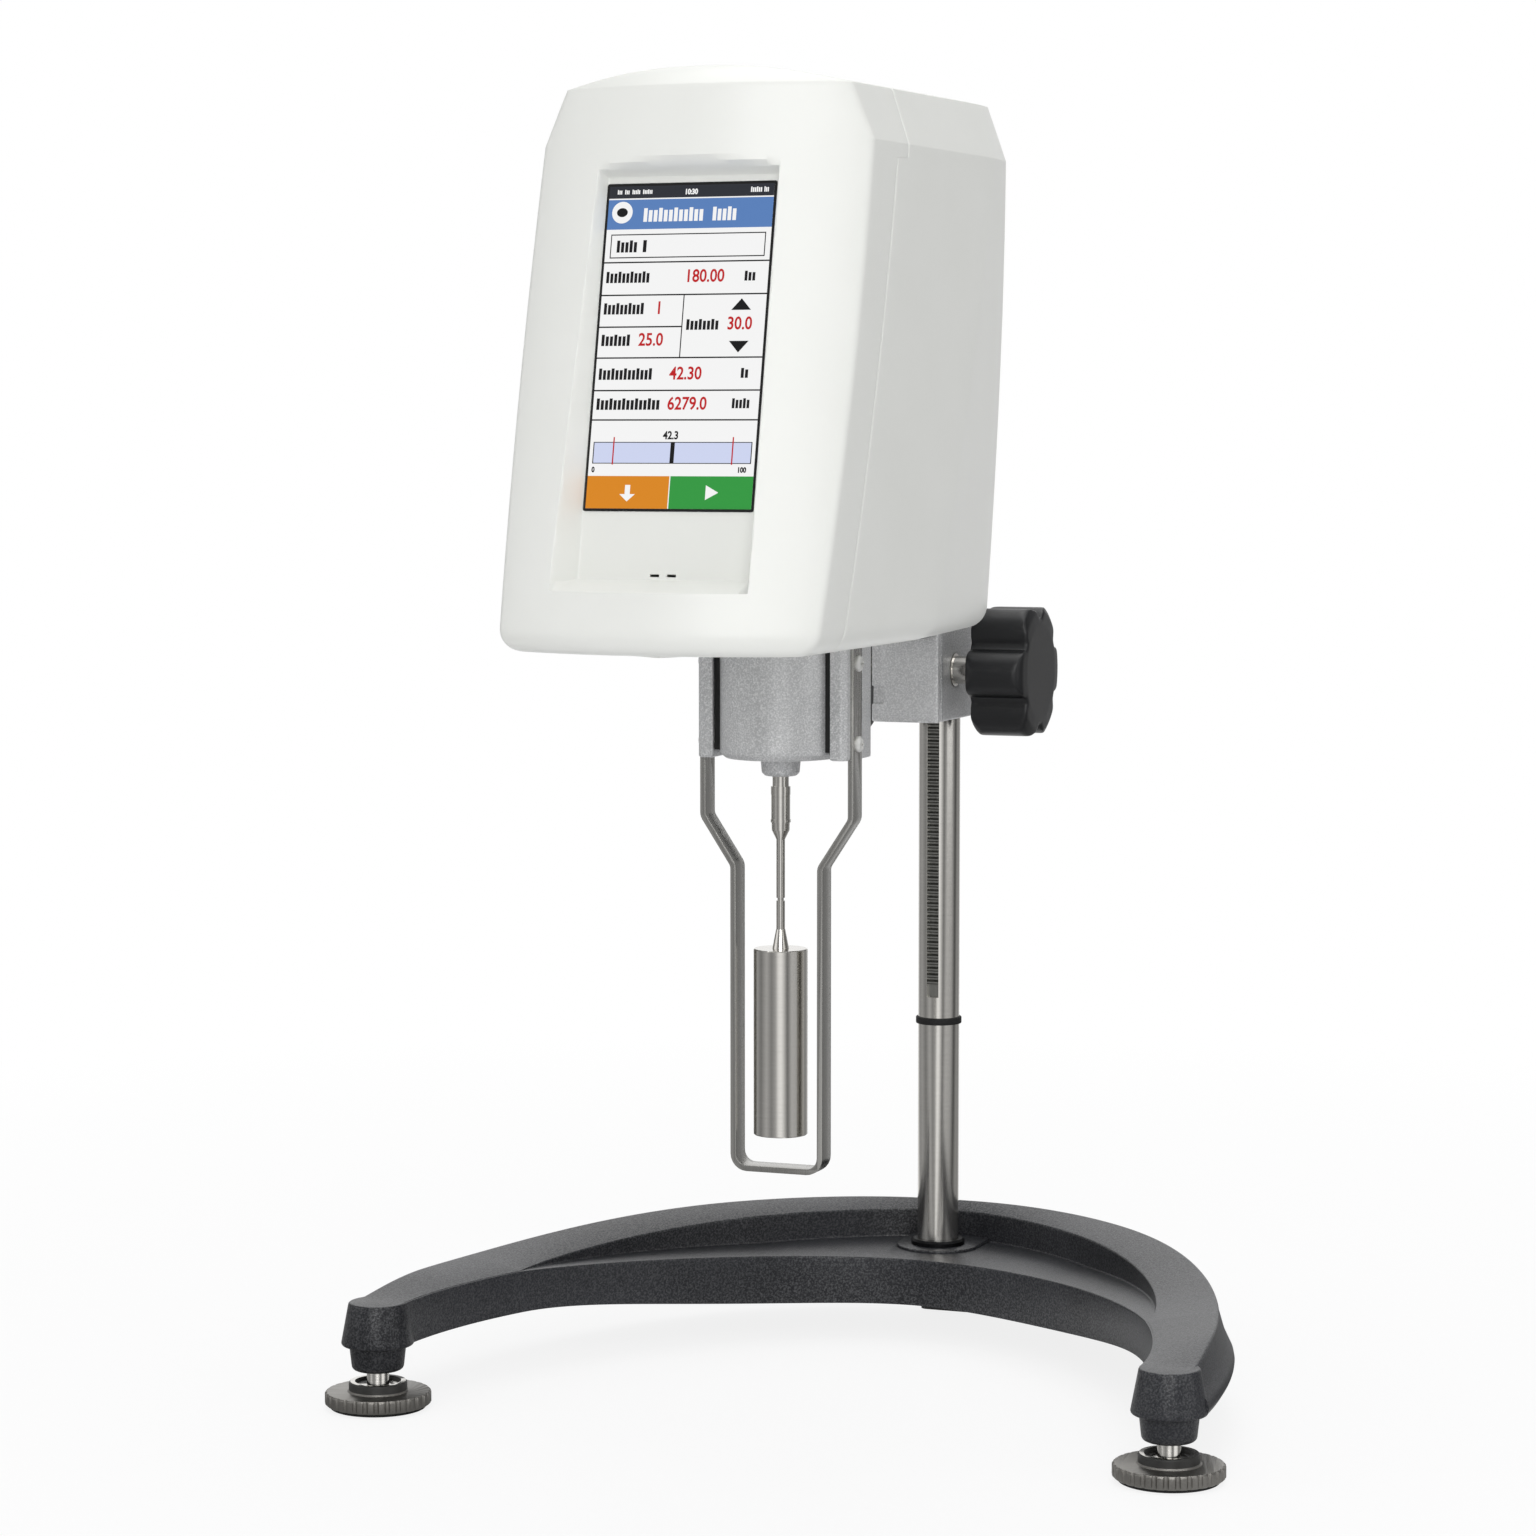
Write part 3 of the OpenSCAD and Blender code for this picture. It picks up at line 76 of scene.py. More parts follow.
class Mat:
    """a Principled material built from noise on the piece's own coordinates"""

    def __init__(self, name):
        MATS[name] = bpy.data.materials.new(name)
        MATS[name].use_nodes = True
        self.tree = MATS[name].node_tree
        self.shader = self.tree.nodes["Principled BSDF"]
        self.coordinates = self.tree.nodes.new("ShaderNodeTexCoord").outputs["Object"]

    def set(self, **values):
        for key, value in values.items():
            key = key.replace("_", " ")
            is_colour = key in ("Base Color", "Emission Color")
            self.shader.inputs[key].default_value = (*srgb(value), 1) if is_colour else value
        return self

    def link(self, output, socket):
        self.tree.links.new(output, socket)

    def fill(self, socket, value):
        """a number, a colour or another node's output"""
        if isinstance(value, (int, float)):
            socket.default_value = value
        elif isinstance(value, tuple):
            socket.default_value = (*srgb(value), 1)
        else:
            self.link(value, socket)

    def mapped(self, scale):
        node = self.tree.nodes.new("ShaderNodeMapping")
        node.inputs["Scale"].default_value = scale if hasattr(scale, "__len__") else (scale,) * 3
        self.link(self.coordinates, node.inputs["Vector"])
        return node.outputs["Vector"]

    def noise(self, scale, detail=3, rough=0.5):
        """scale counts the grains per metre, as one number or one for each axis"""
        node = self.tree.nodes.new("ShaderNodeTexNoise")
        node.inputs["Scale"].default_value = 1
        node.inputs["Detail"].default_value = detail
        node.inputs["Roughness"].default_value = rough
        self.link(self.mapped(scale), node.inputs["Vector"])
        return node.outputs["Fac"]

    def cells(self, scale):
        node = self.tree.nodes.new("ShaderNodeTexVoronoi")
        node.inputs["Scale"].default_value = 1
        self.link(self.mapped(scale), node.inputs["Vector"])
        return node.outputs["Distance"]

    def ramp(self, factor, stops):
        node = self.tree.nodes.new("ShaderNodeValToRGB")
        elements = node.color_ramp.elements
        while len(elements) < len(stops):
            elements.new(0.5)
        for element, (position, tone) in zip(elements, stops):
            element.position = position
            element.color = (tone, tone, tone, 1)
        self.link(factor, node.inputs["Fac"])
        return node.outputs["Color"]

    def mix(self, factor, a, b):
        node = self.tree.nodes.new("ShaderNodeMix")
        node.data_type = "RGBA"
        self.fill(node.inputs["Factor"], factor)
        self.fill(node.inputs["A"], a)
        self.fill(node.inputs["B"], b)
        return node.outputs["Result"]

    def times(self, a, share):
        node = self.tree.nodes.new("ShaderNodeMath")
        node.operation = "MULTIPLY"
        self.link(a, node.inputs[0])
        node.inputs[1].default_value = share
        return node.outputs[0]

    def spread(self, factor, socket, low, high, start=0.0, end=1.0):
        """the factor from start to end, spread from low to high, into one of the shader's inputs"""
        node = self.tree.nodes.new("ShaderNodeMapRange")
        node.inputs["From Min"].default_value = start
        node.inputs["From Max"].default_value = end
        node.inputs["To Min"].default_value = low
        node.inputs["To Max"].default_value = high
        self.link(factor, node.inputs["Value"])
        self.link(node.outputs["Result"], self.shader.inputs[socket])

    def bump(self, height, distance):
        """distance in metres"""
        node = self.tree.nodes.new("ShaderNodeBump")
        node.inputs["Distance"].default_value = distance
        node.inputs["Strength"].default_value = 1.0
        self.link(height, node.inputs["Height"])
        self.link(node.outputs["Normal"], self.shader.inputs["Normal"])

    def color(self, socket):
        self.link(socket, self.shader.inputs["Base Color"])


# Each finish is told its darker and lighter colour, its grain and its lowest and highest roughness.
# Paint and plastic are told their bump too, in metres.
def painted(name, dark, light, grain, low, high, bump, band=(0.40, 0.68), share=0.55, sheen=None, **values):
    """speckled paint: the noise within the band gives specks, which take their share of the lighter colour"""
    mat = Mat(name).set(**values)
    broad = mat.noise(18, 3)
    fine = mat.noise(grain, 4, 0.65)
    patches = mat.ramp(broad, [(0.35, 0.0), (0.65, 1.0)])
    base = mat.mix(mat.times(patches, 1 - share), dark, light)
    specks = mat.ramp(fine, [(band[0], 0.0), (band[1], 1.0)])
    mat.color(mat.mix(mat.times(specks, share), base, light))
    mat.spread(fine, "Roughness", low, high)
    if sheen:
        mat.spread(fine, "Specular IOR Level", *sheen, *band)
    mat.bump(fine, bump)


def steel(name, dark, light, grain, low, high):
    mat = Mat(name).set(Metallic=1.0)
    lines = mat.noise(grain, 4, 0.7)
    broad = mat.noise(25, 3)
    mat.color(mat.mix(lines, dark, light))
    mat.spread(mat.mix(0.4, lines, broad), "Roughness", low, high)
    mat.bump(lines, 0.000008)


def plastic(name, dark, light, grain, low, high, bump, **values):
    mat = Mat(name).set(**values)
    broad = mat.noise(30, 3)
    fine = mat.noise(grain, 3, 0.6)
    mat.color(mat.mix(broad, dark, light))
    mat.spread(mat.mix(0.5, fine, broad), "Roughness", low, high)
    mat.bump(fine, bump)


def lit(name, colour):
    """a lit area of the display: it glows in its own colour, with faint pixels, under a faint gloss"""
    mat = Mat(name).set(Base_Color=(0.02, 0.02, 0.02), Roughness=0.12, Emission_Strength=0.92)
    broad = mat.noise(14, 2)
    pixels = mat.cells(5200)
    tone = mat.mix(mat.times(broad, 0.06), colour, tuple(c * 0.8 for c in colour))
    tone = mat.mix(mat.times(pixels, 0.03), tone, (0.0, 0.0, 0.0))
    mat.link(tone, mat.shader.inputs["Emission Color"])


TURNED = (150, 150, 5200)  # fine rings round an upright axis
DRAWN = (3600, 3600, 60)  # fine lines along an upright axis
GROUND = (1500, 40, 40)  # fine lines across X
MILLED = (60, 1800, 60)  # fine lines across Y
ROLLED = (900, 900, 40)

# the stand and the lift
painted("base_paint", (0.116, 0.119, 0.130), (0.232, 0.237, 0.254), 1400, 0.22, 0.42, 0.00010,
        band=(0.44, 0.64), share=0.5, sheen=(0.22, 1.0))
painted("silver_paint", (0.67, 0.675, 0.68), (0.96, 0.96, 0.96), 1700, 0.30, 0.44, 0.00009,
        band=(0.44, 0.66), share=0.7, Metallic=0.3)
steel("bright_steel", (0.80, 0.79, 0.77), (0.92, 0.91, 0.89), TURNED, 0.13, 0.19)
steel("rack_steel", (0.48, 0.48, 0.47), (0.70, 0.70, 0.68), GROUND, 0.30, 0.42)
steel("foot_steel", (0.50, 0.49, 0.475), (0.66, 0.65, 0.63), 1500, 0.30, 0.44)
steel("dark_steel", (0.10, 0.10, 0.105), (0.17, 0.17, 0.175), 900, 0.35, 0.5)
steel("zinc_steel", (0.84, 0.845, 0.85), (0.96, 0.96, 0.95), 900, 0.22, 0.36)
plastic("foot_hub", (0.15, 0.148, 0.145), (0.21, 0.207, 0.20), 1200, 0.32, 0.44, 0.00003)
plastic("knob_plastic", (0.085, 0.087, 0.095), (0.115, 0.118, 0.126), 1500, 0.30, 0.42, 0.00004,
        Specular_IOR_Level=0.40)
plastic("black_rubber", (0.055, 0.055, 0.058), (0.09, 0.09, 0.092), 700, 0.6, 0.75, 0.00006)
plastic("bush_plastic", (0.84, 0.83, 0.79), (0.90, 0.89, 0.86), 500, 0.4, 0.5, 0.00003)
# the head, the guard and the spindle
plastic("white_gloss", (0.905, 0.910, 0.892), (0.925, 0.929, 0.914), 900, 0.30, 0.38, 0.000010,
        Coat_Weight=0.12, Coat_Roughness=0.22)
steel("guard_steel", (0.64, 0.635, 0.62), (0.80, 0.795, 0.78), DRAWN, 0.22, 0.32)
plastic("screw_head", (0.88, 0.88, 0.87), (0.97, 0.97, 0.96), 900, 0.16, 0.24, 0.00001, Metallic=0.45)
# painted shade: the dark finish of the strips that stand in for the shadow in the housing's corners
plastic("groove", (0.05, 0.05, 0.052), (0.08, 0.08, 0.082), 900, 0.6, 0.75, 0.00003)
plastic("black_plastic", (0.125, 0.127, 0.135), (0.165, 0.168, 0.176), 900, 0.34, 0.46, 0.00004)
plastic("rocker_red", (0.62, 0.08, 0.07), (0.70, 0.13, 0.10), 500, 0.25, 0.34, 0.00003)
plastic("level_liquid", (0.66, 0.80, 0.32), (0.76, 0.88, 0.42), 120, 0.05, 0.1, 0.000004,
        Coat_Weight=0.8, Coat_Roughness=0.02)
# inside the head
steel("plain_aluminium", (0.70, 0.70, 0.71), (0.82, 0.82, 0.82), MILLED, 0.3, 0.42)
steel("spring_steel", (0.30, 0.34, 0.42), (0.42, 0.47, 0.56), ROLLED, 0.3, 0.42)
steel("brass", (0.68, 0.54, 0.28), (0.82, 0.68, 0.38), TURNED, 0.24, 0.38)
plastic("board_green", (0.06, 0.27, 0.14), (0.09, 0.36, 0.19), 400, 0.35, 0.5, 0.00003)
plastic("bearing_red", (0.50, 0.12, 0.18), (0.62, 0.18, 0.24), 500, 0.1, 0.18, 0.00001)
# the display
plastic("screen_glass", (0.035, 0.037, 0.042), (0.05, 0.052, 0.058), 300, 0.08, 0.12, 0.000003,
        Coat_Weight=0.6, Coat_Roughness=0.03)
lit("lit_white", (1.0, 1.0, 1.0))
lit("lit_status", (0.17, 0.18, 0.21))
lit("lit_blue", (0.36, 0.52, 0.76))
lit("lit_red", (0.78, 0.10, 0.12))
lit("lit_black", (0.05, 0.05, 0.06))
lit("lit_lavender", (0.84, 0.87, 0.98))
lit("lit_orange", (0.89, 0.55, 0.11))
lit("lit_green", (0.20, 0.62, 0.26))

SLOTS = {part["node"]: part["material_slot"] for part in frame["record"]["subparts"]}
BODY = {node: body for body, nodes in frame["record"]["behaviour"]["bodies"].items() for node in nodes}
for node, obj in frame["nodes"].items():
    obj.data.materials.clear()
    obj.data.materials.append(MATS[SLOTS[node]])


# ---------------------------------------------------------------- making pieces
MERGE = 1e-6  # metres
TINY = 1e-6  # mm
STRAIGHT = 1.55  # a corner with a greater half angle than this counts as straight, in radians
EDGE_SHARE = 0.45  # how much of an edge one rounding may take


def place(points):
    """mm about the spindle's axis to metres in the frame"""
    points = np.asarray(points, float).reshape(-1, 3)
    return (points - (0, AXIS_Y, 0)) / 1000


def new_object(name, verts, faces):
    mesh = bpy.data.meshes.new(name)
    mesh.from_pydata(place(verts).tolist(), [], [list(face) for face in faces])
    obj = bpy.data.objects.new(name, mesh)
    scene.collection.objects.link(obj)
    return obj


def weld(obj):
    """joins points in one place and turns all faces outwards"""
    bm = bmesh.new()
    bm.from_mesh(obj.data)
    bmesh.ops.remove_doubles(bm, verts=bm.verts, dist=MERGE)
    bmesh.ops.recalc_face_normals(bm, faces=bm.faces)
    bm.to_mesh(obj.data)
    bm.free()


def dress(obj, body, mat, replaces=(), smooth=40):
    """gives a piece its material and body and hides the nodes it replaces; edges sharper than smooth stay
    sharp
    """
    weld(obj)
    obj.data.materials.clear()
    obj.data.materials.append(MATS[mat])
    obj.data.polygons.foreach_set("use_smooth", [True] * len(obj.data.polygons))
    if smooth < 180:
        obj.data.set_sharp_from_angle(angle=math.radians(smooth))
    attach(obj, body)
    if replaces:
        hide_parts(*([replaces] if isinstance(replaces, str) else replaces))
    return obj


def piece(name, verts, faces, body, mat, slot=None, replaces=(), smooth=40):
    obj = new_object(name, verts, faces)
    obj.data.validate()
    obj.data.update()
    return dress(obj, body, mat, replaces, smooth)


def apply(obj, kind, **values):
    """a modifier, worked into the mesh"""
    modifier = obj.modifiers.new(kind, kind)
    for key, value in values.items():
        setattr(modifier, key, value)
    graph = bpy.context.evaluated_depsgraph_get()
    mesh = bpy.data.meshes.new_from_object(obj.evaluated_get(graph))
    obj.modifiers.clear()
    obj.data = mesh
    return obj


def copy_node(node, name):
    obj = bpy.data.objects.new(name, frame["nodes"][node].data.copy())
    scene.collection.objects.link(obj)
    bm = bmesh.new()
    bm.from_mesh(obj.data)
    bmesh.ops.remove_doubles(bm, verts=bm.verts, dist=MERGE)
    bmesh.ops.dissolve_limit(bm, angle_limit=math.radians(1), verts=bm.verts, edges=bm.edges)
    bm.to_mesh(obj.data)
    bm.free()
    return obj


def cast(node, voxel, rounds, mat=None):
    """a node's solid with the soft edges of a casting or moulding"""
    obj = copy_node(node, node + "_cast")
    apply(obj, "REMESH", mode="VOXEL", voxel_size=voxel / 1000)
    apply(obj, "SMOOTH", factor=0.5, iterations=rounds)
    return dress(obj, BODY[node], mat or SLOTS[node], node, 180)


def edged(node, width, mat=None):
    """a node's solid with its sharp edges broken"""
    obj = copy_node(node, node + "_edged")
    apply(obj, "BEVEL", width=width / 1000, segments=2, limit_method="ANGLE", angle_limit=math.radians(35),
          use_clamp_overlap=True, harden_normals=False)
    return dress(obj, BODY[node], mat or SLOTS[node], node, 40)


def ring(radius, count):
    """points of a circle, anticlockwise from +X"""
    turns = [2 * math.pi * k / count for k in range(count)]
    return [(radius * math.cos(a), radius * math.sin(a)) for a in turns]


def lathe(profile, x, y, n=96):
    """a profile of (radius, height) turned round the upright axis through (x, y), closed at both ends"""
    verts = [(x + dx, y + dy, z) for r, z in profile for dx, dy in ring(r, n)]
    faces = []
    for i in range(len(profile) - 1):
        for k in range(n):
            j = (k + 1) % n
            faces.append((i * n + k, i * n + j, (i + 1) * n + j, (i + 1) * n + k))
    faces.append(tuple(range(n))[::-1])
    faces.append(tuple((len(profile) - 1) * n + k for k in range(n)))
    return verts, faces


def rounded(points, radius, steps=4):
    """open polyline with its corners rounded; radius may be one number or one per corner"""
    pts = [np.array(p, float) for p in points]
    out = [pts[0]]
    for i in range(1, len(pts) - 1):
        before, corner, after = pts[i - 1], pts[i], pts[i + 1]
        r = radius[i] if hasattr(radius, "__len__") else radius
        len_a, len_b = np.linalg.norm(before - corner), np.linalg.norm(after - corner)
        if r <= 0 or len_a < TINY or len_b < TINY:
            out.append(corner)
            continue
        a, b = (before - corner) / len_a, (after - corner) / len_b
        half = math.acos(max(-1, min(1, float(a @ b)))) / 2
        if half > STRAIGHT:
            out += [corner] * (steps + 1)
            continue
        reach = min(r / math.tan(half), EDGE_SHARE * len_a, EDGE_SHARE * len_b)
        fitted = reach * math.tan(half)
        centre = corner + (a + b) / np.linalg.norm(a + b) * fitted / math.sin(half)
        from_a, from_b, turn = corner + a * reach - centre, corner + b * reach - centre, math.pi - 2 * half
        for k in range(steps + 1):
            share_a, share_b = math.sin(turn * (1 - k / steps)), math.sin(turn * k / steps)
            out.append(centre + (from_a * share_a + from_b * share_b) / math.sin(turn))
    out.append(pts[-1])
    return out


# ---------------------------------------------------------------- head covers
# The head is a grid of levels. Each level is an outline seen from above, whose edges lean as they rise.
FRONT_Y, FRONT_Z, FRONT_LEAN = -91.5, 430, 0.27
BACK_END_Y, BACK_END_Z, BACK_LEAN = 107, 300, 0.12
CREASE_Y, CREASE_Z, CREASE_LEAN = 60, 441, 0.36  # where the sides turn in towards the back
CREASE_TURN = 0.14  # how far they turn in for each mm back
SEAM_Y, SEAM_Z, SEAM_LEAN = -58.6, 390, 0.287  # parting line of the covers
SEAM_STEP, SEAM_STEP_Z = 10, 437  # the line steps back above this height
SIDE_W, SIDE_BOW, SIDE_Z = 58.2, 0.00024, 395  # half width where it is widest, and how it falls off
FRONT_BULGE = 180  # the front bows back by x * x over this
FRONT_ROUND, BACK_ROUND, CREASE_ROUND = 5, 9, 60  # radii seen from above
UNDER_Z, UNDER_ROUND = 277, 8
NARROW_Z, NARROW_W = 436, 57.8  # above this height the front narrows in step with the sides
SHOULDER_Z, SHOULDER_TOP, SHOULDER_TOP_W, SHOULDER_LEAN = 440.6, 460, 50, 7.7 / 18.4
CROWN_Z, CROWN_DROP, CROWN_INSET = 466.5, 6.5, 10
CROWN_LEAN, CROWN_RUN = 0.02, 65  # the levels' rise towards the back, in full at this height over SIDE_Z

# The glass leans back in a recess, whose floor, sides, top and foot are planes.
GLASS_LEAN = math.radians(11.7)
GLASS_Y, GLASS_Z = -81.6, 428  # the glass's top edge
GLASS_W, GLASS_H = 29.5, 108.0  # half width and height
RECESS_LEAN, RECESS_SIDES = 0.2071, 0.372
RECESS_TOP_RISE, RECESS_TOP_GAP, RECESS_TOP_RUN = 0.9021, 2.5, 0.5749
RECESS_FOOT, RECESS_FOOT_RISE, RECESS_LOW_Z = 124.6, 9, 296
EDGE_BLEND, FOOT_BLEND, BROW_BLEND = 0.7, 1.2, 1.0


def front_line(z):
    return FRONT_Y + FRONT_LEAN * (z - FRONT_Z)


def back_line(z):
    return BACK_END_Y - BACK_LEAN * (z - BACK_END_Z)


def crease_line(z):
    return CREASE_Y - CREASE_LEAN * (CREASE_Z - z)


def seam_line(z):
    return SEAM_Y + SEAM_LEAN * (z - SEAM_Z) + (SEAM_STEP if z > SEAM_STEP_Z else 0)


def side_line(z):
    return SIDE_W - SIDE_BOW * (z - SIDE_Z) ** 2


def soft_max(a, b, width):
    h = np.clip(0.5 + 0.5 * (a - b) / width, 0, 1)
    return b * (1 - h) + a * h + width * h * (1 - h)


def pocket_reach(x, z, y_out):
    """how far in front of the glass's top edge the surface lies, with the screen recess cut in"""
    dz = z - GLASS_Z
    out = -(y_out - GLASS_Y)
    sides = (np.abs(x) - GLASS_W) / RECESS_SIDES - RECESS_LEAN * dz
    back = np.full_like(x, -RECESS_LEAN * dz)
    top = np.full_like(x, (RECESS_TOP_RISE * dz - RECESS_TOP_GAP) / RECESS_TOP_RUN)
    foot = np.full_like(x, -(dz + RECESS_FOOT) * RECESS_FOOT_RISE)
    pocket = soft_max(soft_max(back, sides, EDGE_BLEND), top, EDGE_BLEND)
    pocket = soft_max(pocket, foot, FOOT_BLEND)
    return -soft_max(-out, -pocket, BROW_BLEND)


def corner_arc(before, corner, after, radius, steps):
    return [tuple(p) for p in rounded([before, corner, after], radius, steps)[1:-1]]


def stretches(*runs):
    """places along a line: each run goes from its first to its second value in a number of steps"""
    return np.unique(np.concatenate([np.linspace(*run) for run in runs]).round(4))


# close together where the recess's edges run
FRONT_X = stretches((0, 27, 8), (27, 28.6, 4), (28.6, 30.4, 9), (30.4, 36.5, 16), (36.5, 40, 4))
BODY_Z = stretches((285, 300, 6), (300, 306, 25), (306, 424, 32), (424, 433, 19), (433, 436.8, 3),
                   (437.2, 437.2, 1), (438, SHOULDER_Z, 3))
SHOULDER_ZS = (446, 451, 455.5, 458.5)
CROWN_SHARES = (1, 0.985, 0.96, 0.92, 0.86, 0.79, 0.71, 0.62, 0.52, 0.42, 0.32, 0.22, 0.13, 0.06, 0.02)
SEAM_STEPS = (-0.8, -0.35, -0.15, 0.15, 0.35, 0.8)  # columns on both sides of the seam
SEAM_EASE = 2.2  # the other columns keep this far from the seam
SEAM_FRONT_GAP, SEAM_BACK_GAP = 3, 6  # the seam keeps this far from the corner and from the crease
FRONT_SHARE, CORNER_SHARE = 0.915, 0.85  # of the half width: last front column, and start of the corner
SIDE_LEAST = 20  # the side is at least this long before the crease
CORNER_STEPS = 8


def head_row(z, half_w, inset):
    """right half of one level, front middle to back middle, and the column at which the seam parts it"""
    w = half_w - inset
    front = front_line(z) + inset
    back = back_line(z) - inset
    crease = crease_line(z)
    front_x = FRONT_X * (1.0 if z <= NARROW_Z else w / NARROW_W)
    front_x = np.concatenate([front_x, np.linspace(front_x[-1], w * FRONT_SHARE, 8)[1:]])
    front_y = front + front_x * front_x / FRONT_BULGE
    before = (w * CORNER_SHARE, front + (w * CORNER_SHARE) ** 2 / FRONT_BULGE)
    side_front = (w, front + w * w / FRONT_BULGE)
    bend = (w, max(crease, side_front[1] + SIDE_LEAST))
    back_corner = (w - CREASE_TURN * max(0, back - crease) * w / SIDE_W, back)
    back_middle = (0, back + 1)

    row = list(zip(front_x, front_y))
    row += corner_arc(before, side_front, bend, min(FRONT_ROUND, w / 3), CORNER_STEPS)
    front_end = row[-1][1]
    seam = min(max(seam_line(z), front_end + SEAM_FRONT_GAP), bend[1] - SEAM_BACK_GAP)
    row += [(w, y) for y in np.linspace(front_end, seam - SEAM_EASE, 6)[1:]]
    split = len(row) + len(SEAM_STEPS) // 2
    row += [(w, seam + step) for step in SEAM_STEPS]
    bends = corner_arc(side_front, bend, back_corner, CREASE_ROUND, 6)
    row += [(w, y) for y in np.linspace(seam + SEAM_EASE, bends[0][1], 9)[:-1]] + bends
    corner = corner_arc(bend, back_corner, back_middle, min(BACK_ROUND, w / 3), 10)
    row += [tuple(p) for p in np.linspace(bends[-1], corner[0], 7)[1:-1]] + corner
    row += [tuple(p) for p in np.linspace(corner[-1], back_middle, 8)[1:]]

    row = np.array([(x, y, z) for x, y in row], float)
    if z > RECESS_LOW_Z:
        n = len(front_x) + CORNER_STEPS // 2  # the front and half of its corner
        row[:n, 1] = GLASS_Y - pocket_reach(row[:n, 0], z, row[:n, 1])
    row[:, 2] += CROWN_LEAN * (row[:, 1] - SEAM_Y) * min(max((z - SIDE_Z) / CROWN_RUN, 0), 1)
    return row, split


def head_levels():
    """height, half width and inset of each level, from the rounded underside to the domed crown"""
    low_w = side_line(UNDER_Z + UNDER_ROUND)
    levels = [(UNDER_Z, low_w, 12.0), (UNDER_Z, low_w, 9.0)]
    for a in np.radians(np.linspace(0, 90, 10)[:-1]):
        levels.append((UNDER_Z + UNDER_ROUND * (1 - math.cos(a)), low_w, UNDER_ROUND * (1 - math.sin(a))))
    levels += [(z, side_line(z), 0.0) for z in BODY_Z]
    shoulder = [(SHOULDER_Z, side_line(SHOULDER_Z)), (SHOULDER_Z + 1, side_line(CREASE_Z)),
                (SHOULDER_TOP, SHOULDER_TOP_W)]
    levels += [(float(z), float(w), 0.0) for z, w in rounded(shoulder, 1.5, 5)[1:-1]]
    levels += [(z, SHOULDER_TOP_W + (SHOULDER_TOP - z) * SHOULDER_LEAN, 0.0) for z in SHOULDER_ZS]
    for t in CROWN_SHARES:
        inset = CROWN_INSET * (1 - t)
        levels.append((CROWN_Z - CROWN_DROP * t * t, SHOULDER_TOP_W * t + inset, inset))
    return levels


rows, seam_columns = zip(*[head_row(*level) for level in head_levels()])
grid = np.array(rows)  # level, column, xyz
HEAD_MIDDLE = (0, 10, 370)
LIP_DEPTHS = (0.45, 0.12)  # how far the edge at the seam and the column next to it turn in
SKIN, SKIN_MERGE = 0.0012, 2e-5  # metres


def shell(name, first, last, holes):
    """one cover: the grid's columns from first to last, closed across bottom and crown, pierced, thickened"""
    part = grid[:, first:last].copy()
    normal = np.cross(np.gradient(grid, axis=0)[:, first:last], np.gradient(grid, axis=1)[:, first:last])
    normal /= np.linalg.norm(normal, axis=2, keepdims=True) + 1e-12
    for k, depth in enumerate(LIP_DEPTHS):
        col = k if first else -1 - k
        n = normal[:, col]
        inward = np.where((n * (part[:, col] - HEAD_MIDDLE)).sum(1, keepdims=True) > 0, -n, n)
        part[:, col] += inward * depth
    width = last - first
    mid_low, mid_high = part[0].copy(), part[-1].copy()
    mid_low[:, 0] = 0
    mid_high[:, 0] = 0
    half = np.concatenate([mid_low[None], part, mid_high[None]])
    verts = np.concatenate([half.reshape(-1, 3), (half * (-1, 1, 1)).reshape(-1, 3)])
    faces = []
    for start in (0, len(half) * width):
        for i in range(len(half) - 1):
            for j in range(width - 1):
                k = start + i * width + j
                face = (k, k + 1, k + width + 1, k + width)
                faces.append(face if start else face[::-1])
    obj = new_object(name, verts, faces)
    bm = bmesh.new()
    bm.from_mesh(obj.data)
    bmesh.ops.remove_doubles(bm, verts=bm.verts, dist=SKIN_MERGE)
    bmesh.ops.dissolve_degenerate(bm, dist=MERGE, edges=bm.edges)
    bmesh.ops.recalc_face_normals(bm, faces=bm.faces)
    far = max(bm.faces, key=lambda f: abs(f.calc_center_median().x))
    if far.normal.x * far.calc_center_median().x < 0:
        bmesh.ops.reverse_faces(bm, faces=bm.faces)
    for hole in holes:
        pierce(bm, *hole)
    bm.to_mesh(obj.data)
    bm.free()
    return apply(obj, "SOLIDIFY", thickness=SKIN, offset=-1, use_even_offset=False)


X, Y, Z = Vector((1, 0, 0)), Vector((0, 1, 0)), Vector((0, 0, 1))
SIDES = {"back": (X, Z, Y), "front": (X, Z, -Y), "top": (X, Y, Z), "under": (X, Y, -Z)}  # right, up, out
HOLE_DEPTH, HOLE_MARGIN, CUT_MERGE = 0.02, 0.006, 1e-7  # metres
FACING = 0.5  # least share of a face's normal that points to the side named


